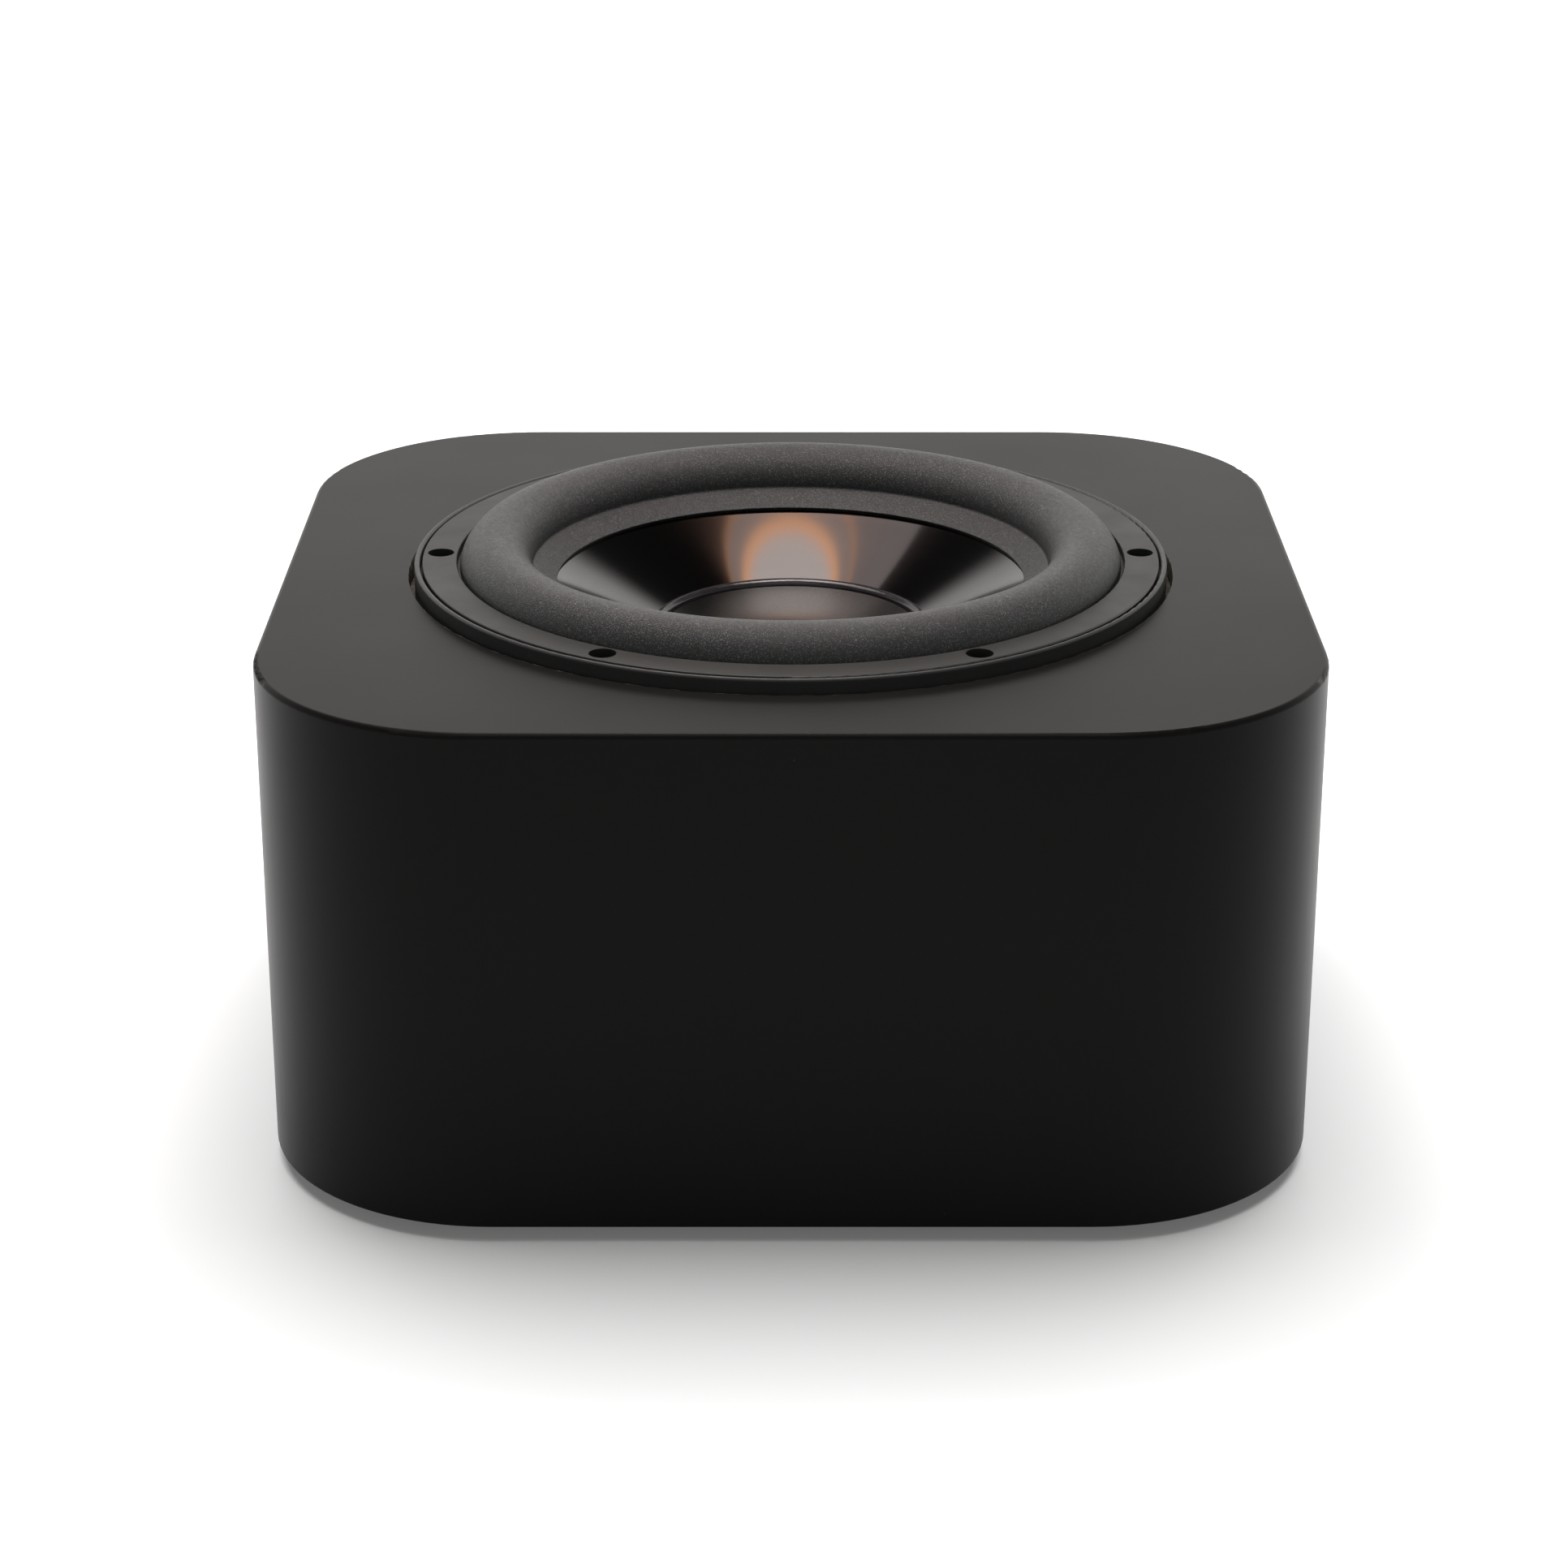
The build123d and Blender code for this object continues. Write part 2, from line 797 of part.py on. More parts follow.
# ---------------------------------------------------------------- driver, moving parts

def surround():
    """A half roll of rubber, with a flat outer edge and a sloping inner edge."""
    outer_foot = (roll_centre + roll_radius, roll_level)
    inner_foot = (landing_outer, roll_level)
    crown = (roll_centre, roll_level + roll_radius)
    under_radius = roll_radius - surround_thickness
    outer_under = (roll_centre + under_radius, roll_level)
    inner_under = (roll_centre - under_radius, roll_level)
    under_crown = (roll_centre, roll_level + under_radius)
    outline = arc(outer_foot, crown, inner_foot)
    outline += profile(
        inner_foot,
        (landing_outer, landing_top),
        (landing_inner, landing_low),
        (foot_under_radius, foot_under_level),
        (foot_under_outer, foot_under_top),
        inner_under,
    )
    outline += arc(inner_under, under_crown, outer_under)
    outline += profile(
        outer_under,
        (roll_centre + under_radius, seat),
        (bond_outer, seat),
        (bond_outer, roll_level),
        outer_foot,
    )
    body = turned(outline)
    for x, y in on_circle(screw_circle, driver_screw_count):
        body -= post(driver_screw_head_radius + head_clearance, x, y, seat - overshoot, ring_top)
    return body


def cone():
    drop = cone_thickness * math.hypot(1.0, cone_slope)
    return turned(profile(
        (foot_under_outer, foot_under_top),
        (foot_under_radius, foot_under_level),
        (coil_former_radius, former_top),
        (coil_former_radius, former_top - drop),
        (foot_under_radius, foot_under_level - drop),
        (foot_under_outer, foot_under_top - drop),
        (foot_under_outer, foot_under_top),
    ))


def neck_ring():
    inner_bed = neck_level - neck_bead_width * cone_slope
    crest = ((neck_inner + neck_outer) / 2, inner_bed + neck_bead_height + neck_bead_width * cone_slope / 2)
    inner_top = (neck_inner, inner_bed + neck_bead_height * neck_bead_inner_share)
    outline = arc((neck_outer, neck_level), crest, inner_top)
    outline += profile(inner_top, (neck_inner, inner_bed), (neck_outer, neck_level))
    return turned(outline)


def dust_cap():
    """A dished cap that closes the neck of the cone, with a lip that stands on the cone."""
    rim = neck_inner - cap_clearance
    lip = rim - cap_thickness
    rim_bed = neck_level - (neck_outer - rim) * cone_slope
    lip_bed = neck_level - (neck_outer - lip) * cone_slope
    rim_level = rim_bed + cap_thickness + cap_lift
    bowl = (rim ** 2 + cap_depth ** 2) / (2 * cap_depth)
    half = rim / 2
    dip = bowl - math.sqrt(bowl ** 2 - half ** 2)
    lip_dip = bowl - math.sqrt(bowl ** 2 - lip ** 2)
    low = rim_level - cap_depth
    under = low - cap_thickness
    outline = arc((rim, rim_level), (half, low + dip), (0, low))
    outline += profile((0, low), (0, under))
    outline += arc((0, under), (half, under + dip), (lip, under + lip_dip))
    outline += profile((lip, under + lip_dip), (lip, lip_bed), (rim, rim_bed), (rim, rim_level))
    return turned(outline)


def coil_former():
    low = coil_middle - coil_height / 2 - former_overhang
    return ring(coil_former_radius, coil_former_radius - former_thickness, low, former_top - former_sink)


def voice_coil():
    half = coil_height / 2
    return ring(coil_outer, coil_former_radius, coil_middle - half, coil_middle + half)


def wave_points(level, inner, outer):
    """A zigzag from the inner radius to the outer, up and down by the wave's height."""
    step = (outer - inner) / spider_wave_count
    points = [(inner, level)]
    for index in range(spider_wave_count):
        height = spider_wave if index % 2 == 0 else -spider_wave
        points.append((inner + index * step + step / 2, level + height))
    points.append((outer, level))
    return points


def spider():
    """A corrugated disc that centres the coil: a collar, waves and a flat edge."""
    low = spider_level
    high = spider_level + spider_thickness
    hub = coil_former_radius
    collar = hub + spider_collar
    waves_end = spider_outer - spider_flat
    upper = [(hub, high)] + wave_points(high, collar, waves_end) + [(spider_outer, high)]
    lower = [(hub, low)] + wave_points(low, collar, waves_end) + [(spider_outer, low)]
    return turned(profile(*upper, *reversed(lower), upper[0]))


# ---------------------------------------------------------------- amplifier

def amp_screw_places():
    x = (pocket_width - ledge_width) / 2
    z = (pocket_height - ledge_width) / 2
    return [(x, z), (0, z), (-x, z), (-x, 0), (-x, -z), (0, -z), (x, -z), (x, 0)]


def amp_gasket():
    outline = RectangleRounded(plate_width, plate_height, plate_corner)
    sheet = upright(outline, (0, 0), rear_inner, plate_inner_face)
    inside = rear_inner - overshoot
    outside = plate_inner_face + overshoot
    sheet -= upright(Rectangle(window_width, window_height), (0, 0), inside, outside)
    for place in amp_screw_places():
        sheet -= upright(Circle(amp_screw_radius), place, inside, outside)
    return sheet


def slot_half(travel):
    """Half the length of the slot that a slider moves in."""
    return (slider_size + travel) / 2 + slider_clearance


def amp_plate():
    outline = RectangleRounded(plate_width, plate_height, plate_corner)
    holes = [(Circle(amp_screw_radius + hole_clearance), place) for place in amp_screw_places()]
    holes += [(Circle(bush_radius + hole_clearance), place) for place in (level_place, crossover_place)]
    holes += [(Circle(phono_shank_radius + hole_clearance), place) for place in phono_places]
    holes.append((Circle(led_radius + hole_clearance), led_place))
    slider_height = slider_size + 2 * slider_clearance
    holes.append((Rectangle(2 * slot_half(phase_travel), slider_height), phase_place))
    holes.append((Rectangle(2 * slot_half(mode_travel), slider_height), mode_place))
    holes.append((Rectangle(rocker_frame_width(), rocker_frame_height()), rocker_place))
    holes.append((Rectangle(inlet_width, inlet_height), inlet_place))
    plate = upright(outline, (0, 0), plate_inner_face, plate_face)
    plate = chamfer(plate.faces().sort_by(Axis.Y)[-1].edges(), plate_edge_chamfer)
    for outline, place in holes:
        plate -= upright(outline, place, plate_inner_face - overshoot, plate_face + overshoot)
    return plate


def amp_screws():
    screws = []
    crown = plate_face + amp_screw_head_height
    for place in amp_screw_places():
        head = upright(Circle(amp_screw_head_radius), place, plate_face, crown)
        head = fillet(head.edges().group_by(Axis.Y)[-1], amp_screw_rounding)
        shank = upright(Circle(amp_screw_radius), place, plate_face - amp_screw_length, plate_face)
        across = Rectangle(amp_cross_length, amp_cross_width)
        recess = upright(across, place, crown - amp_cross_depth, crown + overshoot)
        upwards = Rectangle(amp_cross_width, amp_cross_length)
        recess += upright(upwards, place, crown - amp_cross_depth, crown + overshoot)
        screws.append(head + shank - recess)
    return group(screws)


def amp_housing():
    outer = Rectangle(housing_width, housing_height)
    inner = Rectangle(housing_width - 2 * housing_wall, housing_height - 2 * housing_wall)
    box = upright(outer, (0, 0), housing_back, plate_inner_face)
    return box - upright(inner, (0, 0), housing_back + housing_wall, plate_inner_face + overshoot)


def standoff_places():
    x = housing_width / 2 - housing_wall - standoff_radius - standoff_gap
    z = housing_height / 2 - housing_wall - standoff_radius - standoff_gap
    return [(x, z), (-x, z), (-x, -z), (x, -z)]


def circuit_board():
    width = housing_width - 2 * (housing_wall + board_margin)
    height = housing_height - 2 * (housing_wall + board_margin)
    return upright(Rectangle(width, height), (0, 0), board_back, board_front)


def board_standoffs():
    posts = [upright(Circle(standoff_radius), place, board_front, plate_inner_face)
             for place in standoff_places()]
    return group(posts)


def transformer():
    place = (-housing_width / 4, 0)
    far = board_back - transformer_height
    core = upright(Circle(transformer_radius), place, far, board_back)
    core = fillet(core.edges().filter_by(GeomType.CIRCLE), transformer_rounding)
    return core - upright(Circle(transformer_hole_radius), place, far - overshoot, board_back + overshoot)


def capacitors():
    x = -housing_width / 4 + transformer_radius + capacitor_radius + component_gap
    cans = []
    half = capacitor_radius + component_gap / 2
    for z in (-half, half):
        can = upright(Circle(capacitor_radius), (x, z), board_back - capacitor_height, board_back)
        cans.append(fillet(can.edges().filter_by(GeomType.CIRCLE), capacitor_rounding))
    return group(cans)


def heatsink():
    x = housing_width / 2 - housing_wall - heatsink_width / 2 - heatsink_gap
    sink = upright(Rectangle(heatsink_width, heatsink_height), (x, 0), board_back - heatsink_base, board_back)
    pitch = (heatsink_width - fin_thickness) / (fin_count - 1)
    for index in range(fin_count):
        fin_x = x - heatsink_width / 2 + fin_thickness / 2 + index * pitch
        fin = Rectangle(fin_thickness, heatsink_height)
        sink += upright(fin, (fin_x, 0), board_back - heatsink_depth, board_back)
    return sink


def pot(place):
    """A rotary potentiometer behind the plate, with its bush through the plate."""
    body = upright(Circle(pot_radius), place, plate_inner_face - pot_depth, plate_inner_face)
    body += upright(Circle(bush_radius), place, plate_inner_face - overshoot, plate_face + bush_rise)
    bore = Circle(shaft_radius + shaft_clearance)
    bore_end = plate_inner_face - pot_depth + pot_back_wall
    return body - upright(bore, place, bore_end, plate_face + bush_rise + overshoot)


def shaft(place):
    low = plate_inner_face - pot_depth + pot_back_wall + shaft_end_gap
    return upright(Circle(shaft_radius), place, low, plate_face + bush_rise + knob_grip)


def knob(place):
    """A turned knob with a pointer groove, hollow where it covers the bush."""
    low = plate_face + knob_gap
    high = low + knob_height
    body = upright(Circle(knob_radius), place, low, high)
    body = fillet(body.edges().group_by(Axis.Y)[-1], knob_rounding)
    body -= upright(Circle(knob_hollow_radius), place, low - overshoot, low + knob_hollow_depth)
    body -= upright(Circle(shaft_radius), place, low, plate_face + bush_rise + knob_grip)
    x, z = place
    groove = Rectangle(pointer_width, knob_radius)
    middle = (x, z + pointer_start + knob_radius / 2)
    return body - upright(groove, middle, high - pointer_depth, high + overshoot)


def slide_switch(place, travel):
    """The fixed case of a slide switch, open at the front along the slider's slot."""
    length = slider_base_length + travel + 2 * (slider_clearance + switch_wall)
    front = plate_inner_face
    case = upright(Rectangle(length, switch_height), place, front - switch_depth, front)
    hollow_length = slider_base_length + travel + 2 * slider_clearance
    hollow_height = switch_height - 2 * switch_wall
    hollow_front = front - switch_front_wall
    hollow_back = hollow_front - slider_base_thickness - 2 * slider_clearance
    case -= upright(Rectangle(hollow_length, hollow_height), place, hollow_back, hollow_front)
    slot = Rectangle(2 * slot_half(travel), slider_size + 2 * slider_clearance)
    return case - upright(slot, place, hollow_back, front + overshoot)


def slider(place, travel):
    """The moving button of a slide switch, at the -X end of its slot."""
    x, z = place
    start = (x - travel / 2, z)
    base_front = plate_inner_face - switch_front_wall - slider_clearance
    base_back = base_front - slider_base_thickness
    base_height = switch_height - 2 * (switch_wall + slider_clearance)
    button = upright(Rectangle(slider_base_length, base_height), start, base_back, base_front)
    return button + upright(Rectangle(slider_size, slider_size), start, base_back, plate_face + slider_rise)


def rocker_frame_width():
    return rocker_width + 2 * (rocker_side_clearance + rocker_frame_wall)


def rocker_frame_height():
    return 2 * (rocker_half_height + rocker_end_clearance + rocker_frame_wall)


def rocker_frame():
    well_width = rocker_width + 2 * rocker_side_clearance
    well_height = 2 * (rocker_half_height + rocker_end_clearance)
    back = plate_inner_face - rocker_frame_depth
    frame = upright(Rectangle(rocker_frame_width(), rocker_frame_height()), rocker_place, back, plate_face)
    rim_across = rocker_frame_width() + 2 * rocker_frame_rim
    rim_height = rocker_frame_height() + 2 * rocker_frame_rim
    rim = RectangleRounded(rim_across, rim_height, rocker_frame_corner)
    frame += upright(rim, rocker_place, plate_face, plate_face + rocker_frame_rise)
    well = Rectangle(well_width, well_height)
    frame -= upright(well, rocker_place, back + rocker_frame_wall, plate_face + rocker_frame_rise + overshoot)
    x, z = rocker_place
    pin_hole = Cylinder(rocker_pin_radius + rocker_pin_clearance, well_width + 2 * rocker_pin_length)
    return frame - Pos(x, plate_face, amp_centre_height + z) * Rot(0, 90, 0) * pin_hole


def power_rocker():
    """A rocker on two pins, resting with its upper end pressed in."""
    half = rocker_half_height
    outline = Polyline(
        (0, rocker_end_rise, -half),
        (0, rocker_end_rise - rocker_dip, 0),
        (0, rocker_end_rise, half),
        (0, rocker_edge_level, half - rocker_edge_inset),
        (0, -rocker_keel_depth, rocker_keel_half),
        (0, -rocker_keel_depth, -rocker_keel_half),
        (0, rocker_edge_level, rocker_edge_inset - half),
        close=True,
    )
    body = extrude(make_face(outline), rocker_width / 2, both=True)
    pin_reach = rocker_width + 2 * (rocker_side_clearance + rocker_pin_length - rocker_pin_end_play)
    body += Rot(0, 90, 0) * Cylinder(rocker_pin_radius, pin_reach)
    x, z = rocker_place
    return Pos(x, plate_face, amp_centre_height + z) * Rot(rocker_tilt, 0, 0) * body


def inlet_socket_outline():
    """The keyed opening of a mains inlet, with its two upper corners cut off."""
    half = socket_width / 2
    top = socket_height / 2
    return make_face(Polyline(
        (-half, -top), (half, -top), (half, top - socket_chamfer), (half - socket_chamfer, top),
        (-half + socket_chamfer, top), (-half, top - socket_chamfer), close=True))


def mains_inlet():
    x, z = inlet_place
    back = plate_inner_face - inlet_depth
    face = plate_face + inlet_rise
    body = upright(Rectangle(inlet_width, inlet_height), inlet_place, back, plate_face)
    flange_across = inlet_width + 2 * inlet_flange
    flange = RectangleRounded(flange_across, inlet_height + 2 * inlet_flange, inlet_corner)
    body += upright(flange, inlet_place, plate_face, face)
    socket_place = (x, z + socket_offset)
    body -= upright(inlet_socket_outline(), socket_place, face - socket_depth, face + overshoot)
    well = Rectangle(drawer_width + 2 * drawer_clearance, drawer_height + 2 * drawer_clearance)
    drawer_place = (x, z + drawer_offset)
    body -= upright(well, drawer_place, face - drawer_depth - drawer_clearance, face + overshoot)
    blade = Rectangle(blade_width, blade_height)
    for blade_place in blade_places():
        body -= upright(blade, blade_place, back - overshoot, face - socket_depth + overshoot)
    return body


def blade_places():
    x, z = inlet_place
    middle = z + socket_offset
    outer_level = middle - blade_stagger
    return [(x - blade_spacing, outer_level), (x, middle + blade_stagger), (x + blade_spacing, outer_level)]


def mains_pins():
    face = plate_face + inlet_rise
    back = plate_inner_face - inlet_depth - blade_tail
    blades = [upright(Rectangle(blade_width, blade_height), place, back, face - blade_setback)
              for place in blade_places()]
    return group(blades)


def drawer_middle():
    x, z = inlet_place
    return (x, z + drawer_offset)


def fuse_bed():
    """The fuse's axis lies half way along the drawer."""
    return plate_face + inlet_rise - drawer_depth / 2


def fuse_drawer():
    face = plate_face + inlet_rise
    place = drawer_middle()
    lip = Rectangle(drawer_width + 2 * drawer_lip, drawer_height + 2 * drawer_lip)
    tray = upright(Rectangle(drawer_width, drawer_height), place, face - drawer_depth, face + drawer_face_gap)
    tray += upright(lip, place, face + drawer_face_gap, face + drawer_lip_rise)
    x, z = place
    trough = Box(fuse_length + fuse_end_play, 2 * fuse_radius + fuse_side_play, drawer_height)
    tray -= Pos(x, fuse_bed(), amp_centre_height + z + trough_floor) * trough
    return tray


def fuse():
    x, z = drawer_middle()
    height = amp_centre_height + z + trough_floor - drawer_height / 2 + fuse_radius
    return Pos(x, fuse_bed(), height) * Rot(0, 90, 0) * Cylinder(fuse_radius, fuse_length)


def phono_shells():
    """Two barrels, each on a slightly thinner shank that passes through its ring and the plate."""
    shells = []
    for place in phono_places:
        low = plate_inner_face - phono_shell_depth
        shoulder = plate_face + phono_ring_rise
        high = plate_face + phono_shell_rise
        shell = upright(Circle(phono_shell_radius), place, shoulder, high)
        shell += upright(Circle(phono_shank_radius), place, low, shoulder)
        shells.append(shell - upright(Circle(phono_core_radius), place, low - overshoot, high + overshoot))
    return group(shells)


def phono_cores():
    cores = []
    high = plate_face + phono_core_rise
    bore_end = high - phono_bore_depth
    for place in phono_places:
        core = upright(Circle(phono_core_radius), place, plate_inner_face - phono_shell_depth, high)
        cores.append(core - upright(Circle(phono_bore_radius), place, bore_end, high + overshoot))
    return group(cores)


def phono_ring(place):
    collar = upright(Circle(phono_ring_radius), place, plate_face, plate_face + phono_ring_rise)
    collar = fillet(collar.edges().group_by(Axis.Y)[-1], phono_ring_rounding)
    top = plate_face + phono_ring_rise + overshoot
    return collar - upright(Circle(phono_shank_radius), place, plate_face - overshoot, top)


def status_led():
    lens = upright(Circle(led_radius), led_place, plate_inner_face - led_depth, plate_face + led_rise)
    lens = fillet(lens.edges().group_by(Axis.Y)[-1], led_rounding)
    collar = Circle(led_radius + led_collar)
    return lens + upright(collar, led_place, plate_inner_face - led_collar_depth, plate_inner_face)


def main():
    os.makedirs("parts", exist_ok=True)
    nodes = {
        "cabinet_wall": cabinet_wall(),
        "top_baffle": top_baffle(),
        "bottom_panel": bottom_panel(),
        "ring_brace": ring_brace(),
        "damping_lining": damping_lining(),
        "feet": feet(),
        "foot_screws": foot_screws(),
        "threaded_inserts": threaded_inserts(),
        "amp_frame": amp_frame(),
        "driver_gasket": driver_gasket(),
        "basket": basket(),
        "clamp_ring": clamp_ring(),
        "driver_screws": driver_screws(),
        "surround": surround(),
        "cone": cone(),
        "neck_ring": neck_ring(),
        "dust_cap": dust_cap(),
        "coil_former": coil_former(),
        "voice_coil": voice_coil(),
        "spider": spider(),
        "top_plate": top_plate(),
        "magnets": magnets(),
        "yoke": yoke(),
        "shorting_ring": shorting_ring(),
        "magnet_boot": magnet_boot(),
        "motor_screws": motor_screws(),
        "terminal_block": terminal_block(),
        "terminal_tabs": terminal_tabs(),
        "tinsel_leads": tinsel_leads(),
        "speaker_wires": speaker_wires(),
        "amp_gasket": amp_gasket(),
        "amp_plate": amp_plate(),
        "amp_screws": amp_screws(),
        "amp_housing": amp_housing(),
        "circuit_board": circuit_board(),
        "board_standoffs": board_standoffs(),
        "transformer": transformer(),
        "capacitors": capacitors(),
        "heatsink": heatsink(),
        "level_pot": pot(level_place),
        "level_shaft": shaft(level_place),
        "level_knob": knob(level_place),
        "crossover_pot": pot(crossover_place),
        "crossover_shaft": shaft(crossover_place),
        "crossover_knob": knob(crossover_place),
        "phase_switch": slide_switch(phase_place, phase_travel),
        "phase_slider": slider(phase_place, phase_travel),
        "mode_switch": slide_switch(mode_place, mode_travel),
        "mode_slider": slider(mode_place, mode_travel),
        "rocker_frame": rocker_frame(),
        "power_rocker": power_rocker(),
        "mains_inlet": mains_inlet(),
        "mains_pins": mains_pins(),
        "fuse_drawer": fuse_drawer(),
        "fuse": fuse(),
        "phono_shells": phono_shells(),
        "phono_cores": phono_cores(),
        "phono_ring_white": phono_ring(phono_places[0]),
        "phono_ring_red": phono_ring(phono_places[1]),
        "status_led": status_led(),
    }
    for name, part in nodes.items():
        save(name, part)


main()
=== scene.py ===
"""The looks of an active subwoofer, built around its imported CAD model. Metres, +Z up, the front is -Y."""

import math

import bpy
import numpy as np
from mathutils import Matrix, Vector


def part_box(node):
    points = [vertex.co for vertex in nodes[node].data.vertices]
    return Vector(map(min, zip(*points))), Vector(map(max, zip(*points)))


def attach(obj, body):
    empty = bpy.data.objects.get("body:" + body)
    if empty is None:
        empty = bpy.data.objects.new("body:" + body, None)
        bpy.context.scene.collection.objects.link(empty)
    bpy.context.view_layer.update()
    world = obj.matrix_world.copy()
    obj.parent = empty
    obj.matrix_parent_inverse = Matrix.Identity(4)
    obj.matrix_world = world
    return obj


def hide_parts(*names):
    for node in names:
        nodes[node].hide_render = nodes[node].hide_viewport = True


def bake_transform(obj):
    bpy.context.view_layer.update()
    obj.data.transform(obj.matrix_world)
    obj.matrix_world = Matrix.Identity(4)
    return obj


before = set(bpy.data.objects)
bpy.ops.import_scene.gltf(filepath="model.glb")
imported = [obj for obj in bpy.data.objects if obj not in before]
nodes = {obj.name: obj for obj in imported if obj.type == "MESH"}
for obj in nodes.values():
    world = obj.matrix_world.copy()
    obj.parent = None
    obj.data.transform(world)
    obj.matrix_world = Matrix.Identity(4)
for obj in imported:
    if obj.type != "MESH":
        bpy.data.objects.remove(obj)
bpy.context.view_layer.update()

MM = 0.001

# ---------------------------------------------------------------- sizes

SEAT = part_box("top_baffle")[1].z
ROLL_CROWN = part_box("surround")[1].z
NECK_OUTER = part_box("neck_ring")[1].x
CONE_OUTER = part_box("cone")[1].x
CONE_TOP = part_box("cone")[1].z
CAP_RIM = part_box("dust_cap")[1].x
CAP_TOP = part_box("dust_cap")[1].z
SPIDER_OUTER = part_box("spider")[1].x
SPIDER_LOW, SPIDER_HIGH = (corner.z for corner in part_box("spider"))
FORMER_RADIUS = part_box("coil_former")[1].x
PLATE_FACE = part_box("amp_plate")[1].y

REBATE_RADIUS = 134.4 * MM
SURROUND_THICKNESS = 1.6 * MM
CLAMP_INNER = 117.3 * MM
ROLL_GAP = 1.1 * MM
ROLL_LEVEL = SEAT + SURROUND_THICKNESS
ROLL_RADIUS = ROLL_CROWN - ROLL_LEVEL
ROLL_CENTRE = CLAMP_INNER - ROLL_GAP - ROLL_RADIUS
BOND_EDGE = CLAMP_INNER + 1.3 * MM
BOND_GAP = 0.05 * MM
ROOT_RADIUS = 0.9 * MM
LIP_RADIUS = 0.35 * MM
LANDING_WIDTH = 8.5 * MM
LANDING_FALL = 5.0 * MM
LANDING_STEP = 1.1 * MM
FOOT_THICKNESS = 1.3 * MM
CONE_DEPTH = 16.7 * MM
CONE_THICKNESS = 1.0 * MM
BEAD_WIDTH = 4.7 * MM
BEAD_CREST = 1.45 * MM
CAP_DEPTH = 14.2 * MM
CAP_THICKNESS = 1.2 * MM
CAP_STEPS = 48

SPIDER_THICKNESS = 0.8 * MM
SPIDER_HUB = 3.0 * MM
SPIDER_FLAT = 6.0 * MM
SPIDER_WAVES = 4
SPIDER_STEPS = 128

LEAD_RADIUS = 0.9 * MM
LEAD_SPACING = 6.5 * MM
LEAD_TURN = 60.0
LEAD_START = 86.8 * MM
LEAD_END = NECK_OUTER + 4.0 * MM

KNOB_HOLLOW = 4.0 * MM
KNOB_WALL = 2.0 * MM
KNOB_FLUTES = 24
KNOB_FLUTE_DEPTH = 0.42 * MM
KNOB_ROUNDING = 0.8 * MM
KNOB_STEPS = 144
POINTER_HALF = 0.45 * MM

TICKS = 11
TICK_PITCH = 30.0
TICK_REACH = 9.6 * MM
TICK_HALF = 0.25 * MM
TICK_LONG = 1.9 * MM
TICK_SHORT = 1.1 * MM

ROUND_STEPS = 320


# ---------------------------------------------------------------- node materials

def add(tree, kind, inputs=None, **settings):
    """A shader node with its settings, and its inputs set or linked."""
    node = tree.nodes.new(kind)
    for name, value in settings.items():
        setattr(node, name, value)
    for name, value in (inputs or {}).items():
        if isinstance(value, bpy.types.NodeSocket):
            tree.links.new(value, node.inputs[name])
        else:
            node.inputs[name].default_value = value
    return node


def start(name, **constants):
    """A new node material, its shader's constant values and its place on the object."""
    material = bpy.data.materials.new(name)
    material.use_nodes = True
    tree = material.node_tree
    shader = tree.nodes["Principled BSDF"]
    for key, value in constants.items():
        shader.inputs[key.replace("_", " ")].default_value = value
    place = add(tree, "ShaderNodeTexCoord").outputs["Object"]
    return material, tree, shader, place


def noise(tree, place, scale, detail=3.0, rough=0.55, stretch=None):
    """Soft noise from 0 to 1, stretched if asked."""
    if stretch:
        place = add(tree, "ShaderNodeMapping", {"Vector": place, "Scale": stretch}).outputs[0]
    made = add(tree, "ShaderNodeTexNoise", {
        "Vector": place, "Scale": scale, "Detail": detail, "Roughness": rough,
    })
    return made.outputs["Fac"]


def spread(tree, value, low, high, bottom=0.0, top=1.0, smooth=False):
    """value from low..high turned into bottom..top, and held there outside it."""
    kind = "SMOOTHSTEP" if smooth else "LINEAR"
    made = add(tree, "ShaderNodeMapRange", {
        "Value": value, "From Min": low, "From Max": high, "To Min": bottom, "To Max": top,
    }, interpolation_type=kind)
    return made.outputs[0]


def mix(tree, share, first, second):
    """A colour between two colours."""
    made = add(tree, "ShaderNodeMix", data_type="RGBA")
    for socket, value in ((made.inputs[0], share), (made.inputs[6], first), (made.inputs[7], second)):
        if isinstance(value, bpy.types.NodeSocket):
            tree.links.new(value, socket)
        elif isinstance(value, tuple):
            socket.default_value = (*value, 1.0)
        else:
            socket.default_value = value
    return made.outputs[2]


def maths(tree, operation, first, second=0.0):
    made = add(tree, "ShaderNodeMath", operation=operation)
    for socket, value in zip(made.inputs, (first, second)):
        if isinstance(value, bpy.types.NodeSocket):
            tree.links.new(value, socket)
        else:
            socket.default_value = value
    return made.outputs[0]


def bumps(tree, shader, *layers):
    """Layers of relief, each a height from 0 to 1 and its depth in metres."""
    normal = None
    for height, depth in layers:
        inputs = {"Height": height, "Distance": depth, "Strength": 1.0}
        if normal:
            inputs["Normal"] = normal
        normal = add(tree, "ShaderNodeBump", inputs).outputs[0]
    tree.links.new(normal, shader.inputs["Normal"])


